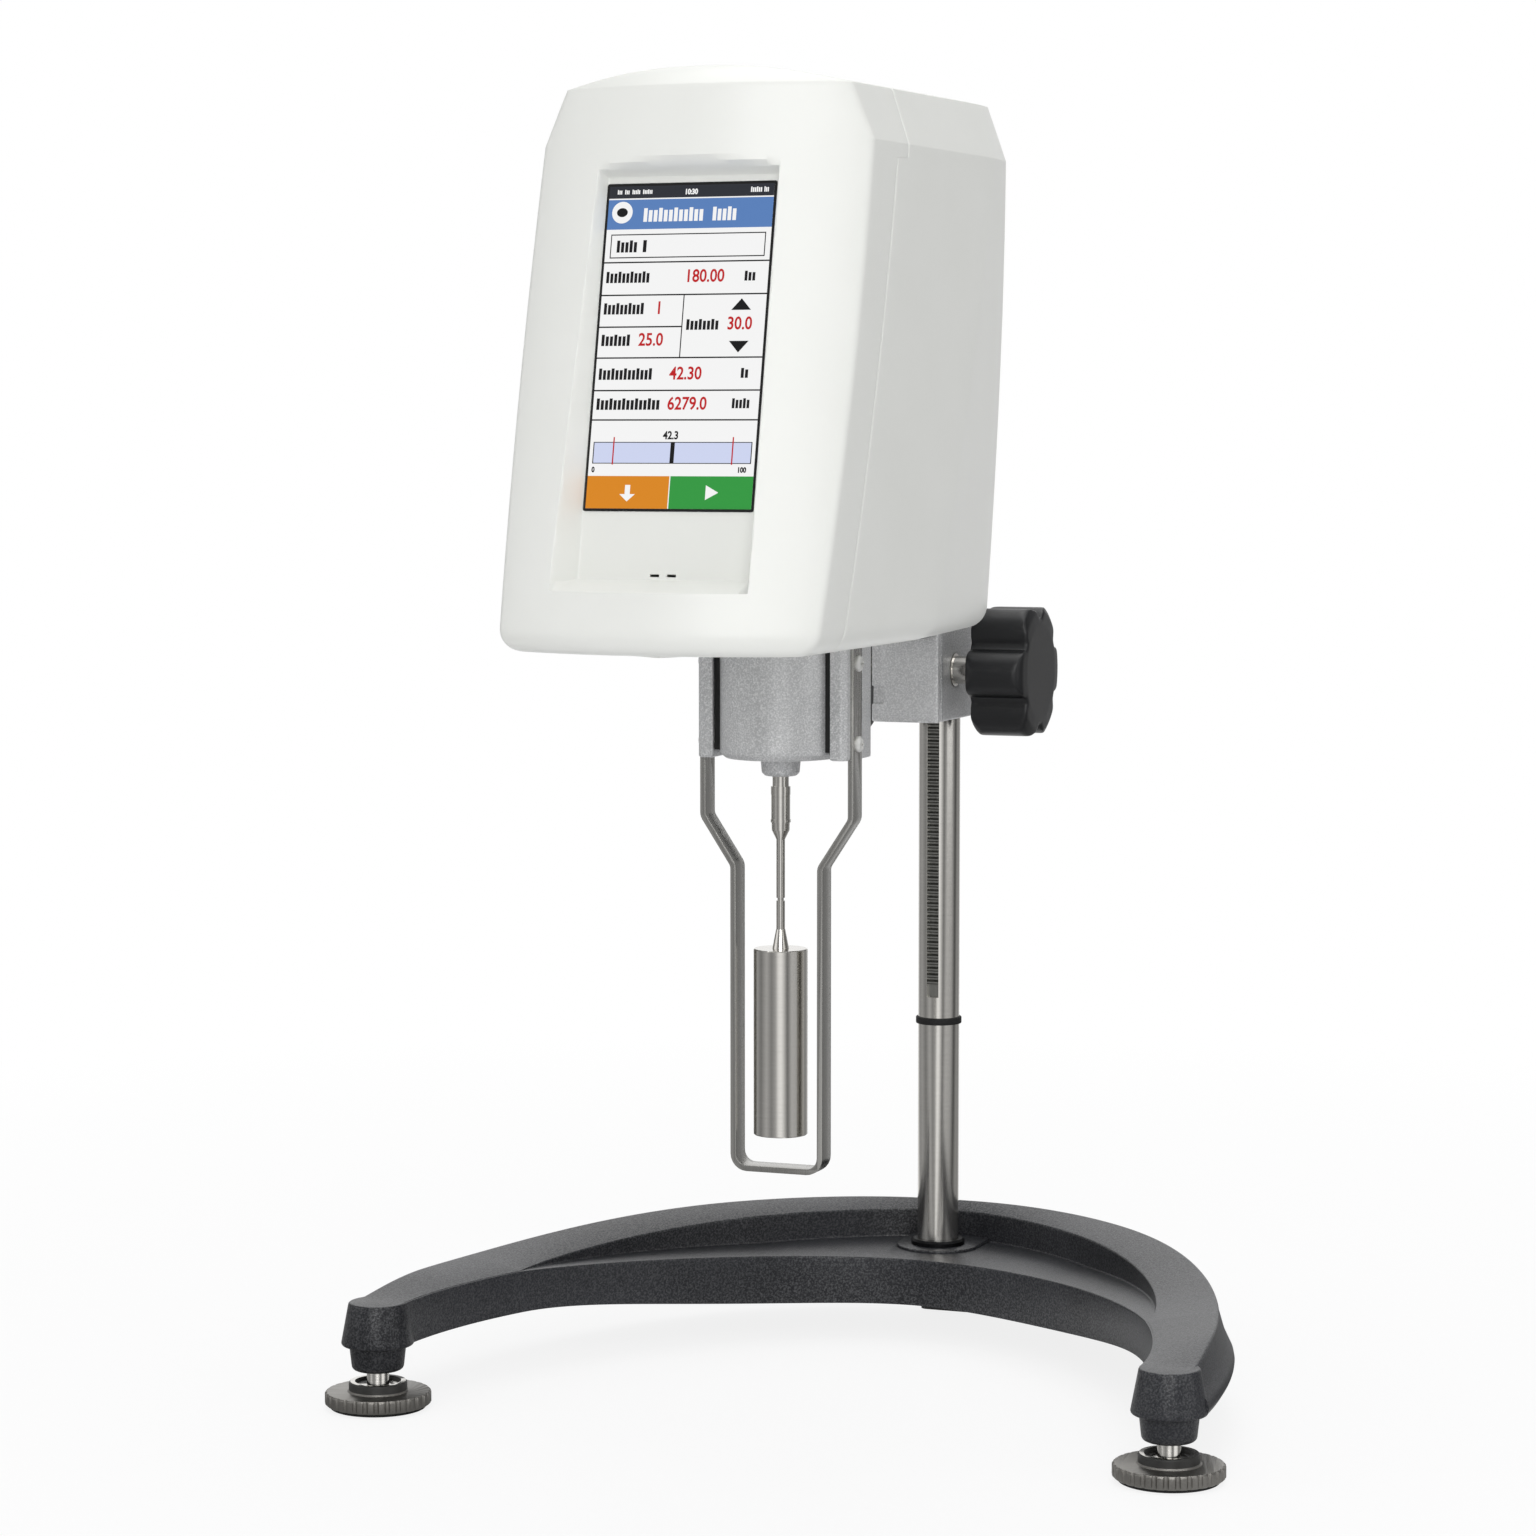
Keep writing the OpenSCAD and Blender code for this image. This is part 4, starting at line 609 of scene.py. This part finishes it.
def pierce(bm, centre, outline, seen_from):
    """cut the convex outline, given about its centre in mm as seen from the side named, through the skin"""
    middle = Vector(place(centre)[0])
    right, up, side = SIDES[seen_from]
    pts = [right * x / 1000 + up * y / 1000 for x, y in outline]
    reach = max(p.length for p in pts) + HOLE_MARGIN

    def is_near(face):
        away = face.calc_center_median() - middle
        depth = side.dot(away)
        faces_out = face.normal.dot(side) > FACING
        return faces_out and (away - side * depth).length < reach and abs(depth) < HOLE_DEPTH

    left = [f for f in bm.faces if is_near(f)]
    for k, p in enumerate(pts):
        q = pts[(k + 1) % len(pts)]
        out = (q - p).cross(side).normalized()
        if out.dot(p + q) < 0:
            out = -out
        geom = list({e for f in left for e in f.edges}) + list({v for f in left for v in f.verts}) + left
        made = bmesh.ops.bisect_plane(bm, geom=geom, dist=CUT_MERGE, plane_co=middle + p, plane_no=out)
        left = [f for f in made["geom"] if isinstance(f, bmesh.types.BMFace)
                and out.dot(f.calc_center_median() - middle - p) < 0]
    bmesh.ops.delete(bm, geom=left, context="FACES")


def slab(w, h):
    return [(-w / 2, -h / 2), (w / 2, -h / 2), (w / 2, h / 2), (-w / 2, h / 2)]


front_holes = [((x, -111, 301.9), slab(3.2, 0.9), "front") for x in (-2.9, 2.9)]
rear_holes = [
    ((0, 0, UNDER_Z), ring(21.4, 64), "under"),  # round housing
    ((0, 2.2, UNDER_Z), slab(57.6, 24.6), "under"),  # flanges
    ((0, 107, 299), slab(25, 27), "back"),  # head arm
    ((-27, 102, 338), slab(15.4, 21.4), "back"),  # power switch
    ((-27, 105, 312), ring(7.2, 40), "back"),  # power inlet
    ((27, 105, 314), slab(11.9, 10.9), "back"),  # data port
    ((0, 48, 468), ring(8.9, 40), "top"),  # bubble level
]
for x, y in ((38, -40), (-38, -40), (34, 50), (-34, 50)):
    rear_holes.append(((x, y, UNDER_Z), ring(3.3, 24), "under"))  # cover screws
front_skin = shell("front_cover_skin", 0, seam_columns[0], front_holes)
rear_skin = shell("rear_cover_skin", seam_columns[0], grid.shape[1], rear_holes)
dress(front_skin, "carriage", "white_gloss", replaces="front_cover", smooth=38)
dress(rear_skin, "carriage", "white_gloss", replaces="rear_cover", smooth=38)


# ---------------------------------------------------------------- base casting
FOOT_X, FOOT_Y = 145.9, -21.2  # axes of the levelling screws
OUTER_W, OUTER_LEN, OUTER_START = 154.5, 236.5, -34  # half-ellipse of the rim's outer edge
BAY_W, BAY_LEN, BAY_POWER = 135.5, 166, 1.75  # superellipse of the bay
WALL_POWER, WALL_GAP, BACK_Y = 1.65, 8, 202.5  # curve of the rim's inner wall, and its thickness at the back
KNEE_SHARE = 0.295  # how far along the crescent the wall leaves the bay's edge
RIM_Z, RIM_RISE, RIM_FROM, RIM_RUN = 38, 4, 40, 130  # height at the tips, and the rise and where it runs
BROW_RISE, BROW_SHARE = 3.2, 0.2  # how far the outer edge lies over the inner one, past this share from a tip
LEDGE_Z, LEDGE_RISE, LEDGE_FROM, LEDGE_STEP = 31, 0.062, 157, 0.15  # it rises forwards until it meets the rim
LOW_Z, LOW_RISE, LOW_FROM, LOW_RUN = 14, 8.5, 140, 95  # underside at the back, and its rise towards the tips
TIP_WALL = 0.8
FLARE, FLARE_LOSS = 7.0, 2  # how far the skirt stands out at the back, and how much less at the tips
SPACING = 1.28  # the sections lie closer together towards the tips
TIP_TURN = math.degrees(math.asin((FOOT_Y - OUTER_START) / OUTER_LEN))
COLUMN_Y, PAD_R, PAD_BACK_Y = 175.6, 16, 198.5
SECTIONS = 120  # from a tip to the back


def ease(v):
    """0 to 1, with a soft start and end"""
    v = min(1, max(0, v))
    return v * v * (3 - 2 * v)


def rim_z(y):
    return RIM_Z + RIM_RISE * ease((y - RIM_FROM) / RIM_RUN)


def ledge_z(y):
    return min(rim_z(y) - LEDGE_STEP, LEDGE_Z + LEDGE_RISE * max(0, LEDGE_FROM - y))


def under_z(y):
    return LOW_Z + LOW_RISE * ease((LOW_FROM - y) / LOW_RUN)


def unit(v):
    return v / np.linalg.norm(v)


def full_curve(w, reach, power, degrees):
    """a point of a superellipse with the half width w and the reach, from its side (0) to its middle (90)"""
    c, s = math.cos(math.radians(degrees)), math.sin(math.radians(degrees))
    return np.array([w * max(c, 0) ** (2 / power), reach * max(s, 0) ** (2 / power)])


def bay_at(t):
    return full_curve(BAY_W, BAY_LEN, BAY_POWER, 90 * t) + (0, FOOT_Y)


KNEE = bay_at(KNEE_SHARE)


def wall_at(t):
    along = 90 * (t - KNEE_SHARE) / (1 - KNEE_SHARE)
    return full_curve(KNEE[0] + TIP_WALL, BACK_Y - WALL_GAP - KNEE[1], WALL_POWER, along) + (0, KNEE[1])


def base_ring(t):
    """cross-section of the crescent from a tip (0) to the back (1), with its edges rounded"""
    a = math.radians(TIP_TURN + (90 - TIP_TURN) * t ** SPACING)
    outer = np.array([OUTER_W * math.cos(a), OUTER_LEN * math.sin(a) + OUTER_START])
    away = unit(np.array([math.cos(a) / OUTER_W, math.sin(a) / OUTER_LEN]))
    inner = bay_at(t)
    wall = wall_at(t) if t > KNEE_SHARE else inner + unit(outer - inner) * TIP_WALL
    brow = rim_z(outer[1]) + BROW_RISE * ease(t / BROW_SHARE)
    low = under_z(outer[1])
    flare = FLARE - FLARE_LOSS * (1 - math.sin(a))
    section = [  # place, height, rounding
        (inner, under_z(inner[1]), 0),
        (inner, ledge_z(inner[1]), 0.7),
        (wall, ledge_z(wall[1]), 0.7),
        (wall, rim_z(wall[1]), 0.8),
        (outer, brow, 1.1),
        (outer + away * 0.5, brow - 3, 5),
        (outer + away * flare * 0.45, (brow + low) / 2, 14),
        (outer + away * flare * 0.9, low + 5, 5),
        (outer + away * flare, low + 2, 1.5),
        (outer + away * (flare - 1.2), low, 0),
    ]
    return rounded([(*p, z) for p, z, _ in section], [r for _, _, r in section], 4)


def loft(rings):
    """a solid through rings of as many points each, closed at both ends"""
    n = len(rings[0])
    verts = [p for ring_points in rings for p in ring_points]
    faces = [(i * n + j, (i + 1) * n + j, (i + 1) * n + (j + 1) % n, i * n + (j + 1) % n)
             for i in range(len(rings) - 1) for j in range(n)]
    faces.append(tuple(range(n)))
    faces.append(tuple((len(rings) - 1) * n + j for j in range(n))[::-1])
    return verts, faces


def unite(obj, verts, faces):
    tool = new_object("addition", verts, faces)
    weld(obj)
    weld(tool)
    apply(obj, "BOOLEAN", operation="UNION", solver="MANIFOLD", object=tool)
    bpy.data.objects.remove(tool)


half = [base_ring(t) for t in np.linspace(0, 1, SECTIONS)]
other_half = [[(-x, y, z) for x, y, z in points] for points in half[-2::-1]]
base = new_object("base_crescent", *loft(half + other_half))
TIP_LOW = 22.5
tip = rounded([(0, TIP_LOW), (13.2, TIP_LOW), (10.3, RIM_Z), (0, RIM_Z)], [0, 1.0, 0.9, 0], 5)
boss = rounded([(0, 13.5), (9.2, 13.5), (10.2, TIP_LOW), (10.2, 26), (0, 26)], [0, 1.8, 0, 0, 0], 5)
for side in (-1, 1):
    unite(base, *lathe(tip, side * FOOT_X, FOOT_Y))
    unite(base, *lathe(boss, side * FOOT_X, FOOT_Y))
pad = [(PAD_R * math.cos(a), COLUMN_Y + PAD_R * math.sin(a)) for a in np.linspace(math.pi, 2 * math.pi, 49)]
pad = [(-PAD_R, PAD_BACK_Y)] + pad + [(PAD_R, PAD_BACK_Y)]
pad_levels = ((20, 1), (32.0, 1), (32.35, 0.988), (32.5, 0.966))  # height and share of the pad's size
unite(base, *loft([[(x * k, COLUMN_Y + (y - COLUMN_Y) * k, z) for x, y in pad] for z, k in pad_levels]))
dress(base, "stand", "base_paint", replaces="base_casting", smooth=32)


# ---------------------------------------------------------------- column, lift and drive pieces
cast("lift_block", 0.55, 3)
cast("head_arm", 0.55, 3)
cast("chassis_casting", 0.5, 3)
cast("left_knob", 0.5, 12, "knob_plastic")
cast("right_knob", 0.5, 12, "knob_plastic")
edged("guard_leg", 0.3)
edged("block_gasket", 0.4)
edged("rear_foot", 1.6)
edged("guard_screws", 0.15, "screw_head")

# painted shade: dark strips in the corners between the round housing and its flanges, standing in for the
# shadow that falls there
GROOVE_IN, GROOVE_OUT, GROOVE_FRONT, GROOVE_BACK = 19.3, 21.4, -8.2, -4.5
GROOVE_LOW, GROOVE_HIGH = 238.4, 277.5
for side in (-1, 1):
    corners = [(side * x, y) for x, y in ((GROOVE_IN, GROOVE_FRONT), (GROOVE_OUT, GROOVE_FRONT),
                                          (GROOVE_OUT, GROOVE_BACK), (GROOVE_IN, GROOVE_BACK))]
    strip = loft([[(x, y, z) for x, y in corners] for z in (GROOVE_LOW, GROOVE_HIGH)])
    piece(f"groove_shade_strip_{side + 2}", *strip, "carriage", "groove", "black_rubber")

# levelling screws: knurled disc, with a dark hub and a bright stud above it
HUB_R, STUD_R, DISC_TOP = 10.6, 4.2, 5.9
for node, x in (("left_foot_screw", -FOOT_X), ("right_foot_screw", FOOT_X)):
    foot = edged(node, 0.25)
    foot.data.materials.append(MATS["foot_hub"])
    foot.data.materials.append(MATS["bright_steel"])
    axis = place((x, FOOT_Y, 0))[0]
    for face in foot.data.polygons:
        away = 1000 * math.hypot(face.center.x - axis[0], face.center.y - axis[1])
        if face.center.z * 1000 > DISC_TOP and away < HUB_R:
            face.material_index = 2 if away < STUD_R else 1

RING_Z, RING_HALF_H, RING_T, COLUMN_R, SEAT = 120.5, 1.3, 0.85, 8.0, 0.02
RING_STEPS = 96
band = [(SEAT, 0), (SEAT, -RING_HALF_H), (RING_T, -RING_HALF_H), (RING_T, RING_HALF_H), (SEAT, RING_HALF_H),
        (SEAT, 0)]
band = rounded(band, 0.35, 4)[:-1]
verts = [(x, COLUMN_Y + y, RING_Z + h) for r, h in band for x, y in ring(COLUMN_R + r, RING_STEPS)]
faces = []
for i in range(len(band)):
    this, after = i * RING_STEPS, (i + 1) % len(band) * RING_STEPS
    for k in range(RING_STEPS):
        j = (k + 1) % RING_STEPS
        faces.append((this + k, this + j, after + j, after + k))
piece("ring_band", verts, faces, "stand", "black_rubber", SLOTS["stop_ring"], "stop_ring")


# ---------------------------------------------------------------- screen
SCREEN_EDGE = 0.9  # the glass's black border round the lit page
SCREEN_W, SCREEN_H = 2 * (GLASS_W - SCREEN_EDGE), GLASS_H - 2 * SCREEN_EDGE
GLASS_BACK, GLASS_FACE = -3, 0.28  # heights of the glass's two faces out of its leaning plane
LAYER_STEP, INK = 0.012, 0.008  # the picture's layers: from one to the next, and their thickness
NUMBER_LAYER, WORD_LAYER = 3, 5
CAPITALS, THICKEN, NARROW = 0.72, 0.12, 0.86  # digits: share of the font's size, mm added to strokes, width
BLOCK_W, BLOCK_FILL = 0.85, 0.72  # a word's block: its pitch for the word's height, and the share filled
LOW_TOP, HIGH_TOP, BLOCK_FOOT = 0.5, 0.68, 0.5  # shares of the word's height over and under its middle


def glass_point(x, y, z):
    """x across, y up and z out of the leaning glass, from the middle of its top edge"""
    c, s = math.cos(math.pi / 2 - GLASS_LEAN), math.sin(math.pi / 2 - GLASS_LEAN)
    return x, GLASS_Y + y * c - z * s, GLASS_Z + y * s + z * c


def screen_x(u):
    """u goes from 0 at the page's left edge to 1 at its right edge"""
    return -GLASS_W + SCREEN_EDGE + u * SCREEN_W


def screen_y(v):
    """v goes from 0 at the page's top to 1 at its foot"""
    return -SCREEN_EDGE - v * SCREEN_H


def layer_z(layer):
    return GLASS_FACE + layer * LAYER_STEP


def plate(name, points, low, high, mat, replaces=()):
    """flat plate on the leaning glass"""
    n = len(points)
    verts = [glass_point(x, y, z) for z in (low, high) for x, y in points]
    faces = [tuple(range(n))[::-1], tuple(range(n, 2 * n))]
    faces += [(k, (k + 1) % n, n + (k + 1) % n, n + k) for k in range(n)]
    return piece(name, verts, faces, "carriage", mat, "screen_glass", replaces, 30)


def shape(name, points, mat, layer):
    return plate("ui_" + name, points, layer_z(layer) - INK, layer_z(layer), mat)


def lay(name, u0, v0, u1, v1, mat, layer):
    x0, x1, y0, y1 = screen_x(u0), screen_x(u1), screen_y(v1), screen_y(v0)
    return shape(name, [(x0, y0), (x1, y0), (x1, y1), (x0, y1)], mat, layer)


def number(name, text, u, v, height, mat="lit_red", align="LEFT"):
    """plain digits on the display; u, v is where their baseline starts"""
    curve = bpy.data.curves.new("ui_" + name, "FONT")
    curve.body = text
    curve.size = height / CAPITALS
    curve.align_x = align
    curve.offset = THICKEN
    curve.resolution_u = 4
    obj = bpy.data.objects.new("ui_" + name, curve)
    scene.collection.objects.link(obj)
    graph = bpy.context.evaluated_depsgraph_get()
    mesh = bpy.data.meshes.new_from_object(obj.evaluated_get(graph))
    bpy.data.objects.remove(obj)
    places = [(screen_x(u) + p.co.x * NARROW, screen_y(v) + p.co.y) for p in mesh.vertices]
    verts = [glass_point(x, y, layer_z(NUMBER_LAYER)) for x, y in places]
    for vertex, point in zip(mesh.vertices, place(verts)):
        vertex.co = point
    obj = bpy.data.objects.new("ui_" + name, mesh)
    scene.collection.objects.link(obj)
    return dress(obj, "carriage", mat, (), 30)


def words(name, u, v, widths, height, mat="lit_black", gap=0.012):
    """short upright blocks in a row where the real display has a word"""
    for width in widths:
        count = max(1, round(width / (height * BLOCK_W)))
        pitch = width / count
        for k in range(count):
            x = u + k * width / count
            top = v - height * (LOW_TOP if k % 3 else HIGH_TOP)
            foot = v + height * BLOCK_FOOT
            lay(f"{name}_{round(1000 * x)}", x, top, x + pitch * BLOCK_FILL, foot, mat, WORD_LAYER)
        u += width + gap


GLASS_ROUND = 0.8
glass = []
for x, y, start in ((GLASS_W, -GLASS_H, -90), (GLASS_W, 0, 0), (-GLASS_W, 0, 90), (-GLASS_W, -GLASS_H, 180)):
    cx = x - math.copysign(GLASS_ROUND, x)
    cy = y - GLASS_ROUND if y == 0 else y + GLASS_ROUND
    for a in np.radians([start + k * 15 for k in range(7)]):
        glass.append((cx + GLASS_ROUND * math.cos(a), cy + GLASS_ROUND * math.sin(a)))
plate("screen_panel", glass, GLASS_BACK, GLASS_FACE, "screen_glass", "display_glass")

lay("page", 0, 0, 1, 1, "lit_white", 1)
lay("status", 0, 0, 1, 0.038, "lit_status", 2)
number("clock", "10:30", 0.50, 0.028, 1.7, "lit_white", "CENTER")
words("signal", 0.05, 0.019, [0.03, 0.03, 0.05, 0.06], 0.012, "lit_white", 0.015)
words("battery", 0.86, 0.019, [0.07, 0.03], 0.014, "lit_white", 0.01)
lay("title", 0, 0.042, 1, 0.135, "lit_blue", 2)
words("title_words", 0.22, 0.094, [0.37, 0.15], 0.036, "lit_white", 0.05)
shape("icon", [(-23.6 + x, -9.6 + y) for x, y in ring(3.6, 36)], "lit_white", 3)
shape("icon_dot", [(-23.6 + x, -9.6 + y * 1.5 / 1.9) for x, y in ring(1.9, 36)], "lit_black", 4)
lay("field_edge", 0.03, 0.150, 0.97, 0.225, "lit_black", 2)
lay("field", 0.036, 0.1535, 0.964, 0.2215, "lit_white", 3)
words("field_words", 0.07, 0.191, [0.13, 0.03], 0.032, "lit_black", 0.03)

RULE_H, DIGITS_H, LETTERS_H, UNITS_H = 0.0045, 4.2, 0.030, 0.026
for k, v in enumerate((0.236, 0.338, 0.533, 0.634, 0.725)):
    lay(f"rule_{k}", 0, v, 1, v + RULE_H, "lit_black", 2)
lay("rule_half", 0, 0.437, 0.50, 0.437 + RULE_H, "lit_black", 2)
lay("divider", 0.50, 0.338, 0.5065, 0.533, "lit_black", 2)
words("label_a", 0.02, 0.287, [0.27], LETTERS_H)
number("value_a", "180.00", 0.50, 0.301, DIGITS_H)
words("unit_a", 0.86, 0.287, [0.07], UNITS_H)
words("label_b", 0.02, 0.385, [0.25], LETTERS_H)
number("value_b", "1", 0.335, 0.399, DIGITS_H)
words("label_c", 0.02, 0.483, [0.18], LETTERS_H)
number("value_c", "25.0", 0.245, 0.497, DIGITS_H)
words("label_d", 0.53, 0.436, [0.20], 0.028)
number("value_d", "30.0", 0.775, 0.449, DIGITS_H)
words("label_e", 0.02, 0.588, [0.33], LETTERS_H)
number("value_e", "42.30", 0.45, 0.602, DIGITS_H)
words("unit_e", 0.88, 0.586, [0.05], UNITS_H)
words("label_f", 0.02, 0.681, [0.39], LETTERS_H)
number("value_f", "6279.0", 0.45, 0.695, DIGITS_H)
words("unit_f", 0.84, 0.679, [0.11], UNITS_H)
ARROW_X, ARROW_W, ARROW_H = 20.2, 3.4, 1.9
for name, v, way in (("up", 0.372, 1), ("down", 0.503, -1)):
    foot_y, point_y = screen_y(v) - way * ARROW_H, screen_y(v) + way * ARROW_H
    points = [(ARROW_X - ARROW_W, foot_y), (ARROW_X + ARROW_W, foot_y), (ARROW_X, point_y)]
    shape(name, points[::way], "lit_black", 3)

number("scale_value", "42.3", 0.44, 0.786, 2.6, "lit_black")
for k, u in enumerate((0.14, 0.86)):
    lay(f"limit_{k}", u, 0.780, u + 0.008, 0.865, "lit_red", 4)
lay("gauge_edge", 0.02, 0.795, 0.98, 0.862, "lit_black", 2)
lay("gauge", 0.026, 0.7975, 0.974, 0.8595, "lit_lavender", 3)
lay("gauge_mark", 0.49, 0.795, 0.515, 0.862, "lit_black", 5)
number("scale_low", "0", 0.02, 0.888, 1.7, "lit_black")
number("scale_high", "100", 0.90, 0.888, 1.7, "lit_black")
lay("button_a", 0, 0.900, 0.497, 1, "lit_orange", 2)
lay("button_b", 0.503, 0.900, 1, 1, "lit_green", 2)
RUN_X, KEEP_X, SIGN_H, SHAFT_W, HEAD_W = 12.6, -14.4, 2.4, 0.9, 2.7
middle = screen_y(0.95)
shape("run", [(RUN_X, middle - SIGN_H), (RUN_X + 4.4, middle), (RUN_X, middle + SIGN_H)], "lit_white", 3)
shape("keep", [(KEEP_X - HEAD_W, middle - 0.6), (KEEP_X, middle - 3.0), (KEEP_X + HEAD_W, middle - 0.6),
               (KEEP_X + SHAFT_W, middle - 0.6), (KEEP_X + SHAFT_W, middle + SIGN_H),
               (KEEP_X - SHAFT_W, middle + SIGN_H), (KEEP_X - SHAFT_W, middle - 0.6)], "lit_white", 3)


# ---------------------------------------------------------------- floor and light
# Brightness of the studio's panels and of the gaps between them, once round by compass direction.
STUDIO = [
    (0.00, 0.42), (0.05, 0.24), (0.11, 0.46), (0.19, 0.20), (0.27, 0.38), (0.34, 0.28), (0.41, 1.00),
    (0.48, 1.00), (0.53, 0.40), (0.57, 0.26), (0.61, 0.32), (0.665, 0.06), (0.72, 0.38), (0.76, 0.44),
    (0.82, 0.50), (0.87, 0.14), (0.915, 0.72), (0.94, 1.00), (0.97, 0.92), (1.00, 0.42),
]
FLOOR_TONE = (0.86, 0.86, 0.87)
WHITE_NEAR, WHITE_FAR = 0.22, 0.9  # metres from the middle
WHITE_SHARE = 0.84  # how much of the near floor the camera sees as plain white
FLOOR_SIZE, FLOOR_Z = 12, -0.0003  # metres; it lies a little under the feet


class Studio:
    """the nodes of the floor's or the world's light"""

    def __init__(self, owner):
        owner.use_nodes = True
        self.tree = owner.node_tree
        self.tree.nodes.clear()

    def node(self, kind, **values):
        made = self.tree.nodes.new(kind)
        for key, value in values.items():
            made.inputs[key.replace("_", " ")].default_value = value
        return made

    def link(self, output, socket):
        self.tree.links.new(output, socket)

    def mix(self, factor, a, b):
        made = self.node("ShaderNodeMixShader")
        self.link(factor, made.inputs["Fac"])
        self.link(a.outputs[0], made.inputs[1])
        self.link(b.outputs[0], made.inputs[2])
        return made

    def tone(self, direction):
        """the studio's brightness in a direction"""
        parts = self.node("ShaderNodeSeparateXYZ")
        self.link(direction, parts.inputs[0])
        angle = self.node("ShaderNodeMath")
        angle.operation = "ARCTAN2"
        self.link(parts.outputs["X"], angle.inputs[0])
        self.link(parts.outputs["Y"], angle.inputs[1])
        turn = self.node("ShaderNodeMapRange", From_Min=-math.pi, From_Max=math.pi)
        self.link(angle.outputs[0], turn.inputs["Value"])
        bands = self.node("ShaderNodeValToRGB")
        elements = bands.color_ramp.elements
        while len(elements) < len(STUDIO):
            elements.new(0.5)
        for element, (position, tone) in zip(elements, STUDIO):
            element.position = position
            element.color = (tone, tone, tone, 1)
        self.link(turn.outputs["Result"], bands.inputs["Fac"])
        return bands.outputs["Color"]


def floor_material():
    """a pale floor that mirrors the studio into the pieces, and that the camera sees turn to white"""
    material = bpy.data.materials.new("floor")
    studio = Studio(material)
    seen_by = studio.node("ShaderNodeLightPath")
    place_of = studio.node("ShaderNodeTexCoord").outputs["Object"]
    matt = studio.node("ShaderNodeBsdfDiffuse", Color=(*FLOOR_TONE, 1))
    panels = studio.node("ShaderNodeEmission")
    studio.link(studio.tone(place_of), panels.inputs["Color"])
    white = studio.node("ShaderNodeEmission", Color=(1, 1, 1, 1))
    away = studio.node("ShaderNodeVectorMath")
    away.operation = "LENGTH"
    studio.link(place_of, away.inputs[0])
    fade = studio.node("ShaderNodeMapRange", From_Min=WHITE_NEAR, From_Max=WHITE_FAR, To_Min=WHITE_SHARE)
    studio.link(away.outputs["Value"], fade.inputs["Value"])
    share = studio.node("ShaderNodeMath")
    share.operation = "MULTIPLY"
    studio.link(seen_by.outputs["Is Camera Ray"], share.inputs[0])
    studio.link(fade.outputs["Result"], share.inputs[1])
    mirrored = studio.mix(seen_by.outputs["Is Glossy Ray"], matt, panels)
    whole = studio.mix(share.outputs[0], mirrored, white)
    studio.link(whole.outputs[0], studio.node("ShaderNodeOutputMaterial").inputs["Surface"])
    return material


def studio_world():
    """the studio's panels all round, which the camera sees as white"""
    world = bpy.data.worlds.new("studio")
    studio = Studio(world)
    seen_by = studio.node("ShaderNodeLightPath")
    direction = studio.node("ShaderNodeTexCoord").outputs["Generated"]
    dome = studio.node("ShaderNodeBackground", Strength=1.0)
    studio.link(studio.tone(direction), dome.inputs["Color"])
    white = studio.node("ShaderNodeBackground", Color=(1, 1, 1, 1), Strength=1.0)
    whole = studio.mix(seen_by.outputs["Is Camera Ray"], dome, white)
    studio.link(whole.outputs[0], studio.node("ShaderNodeOutputWorld").inputs["Surface"])
    return world


def lamp(name, location, target, size, power, size_y=None):
    """a square or upright lamp in metres and watts"""
    data = bpy.data.lights.new(name, "AREA")
    data.energy = power
    data.shape = "RECTANGLE"
    data.size = size
    data.size_y = size_y or size
    obj = bpy.data.objects.new(name, data)
    scene.collection.objects.link(obj)
    obj.location = location
    obj.rotation_euler = (Vector(target) - Vector(location)).to_track_quat("-Z", "Y").to_euler()


bpy.ops.mesh.primitive_plane_add(size=FLOOR_SIZE, location=(0, 0, FLOOR_Z))
floor = bpy.context.object
floor.name = "floor"
floor.data.materials.append(floor_material())
scene.world = studio_world()
lamp("key", (0.8, -2.3, 1.5), (0, 0, 0.25), 1.8, 23.5)
lamp("left", (-1.9, -1.0, 1.0), (0, 0, 0.25), 1.6, 6)
lamp("right", (2.0, -0.3, 0.9), (0, 0, 0.25), 1.4, 5, size_y=1.8)
lamp("top", (0.1, 0.2, 2.2), (0, 0, 0.1), 2.0, 20)
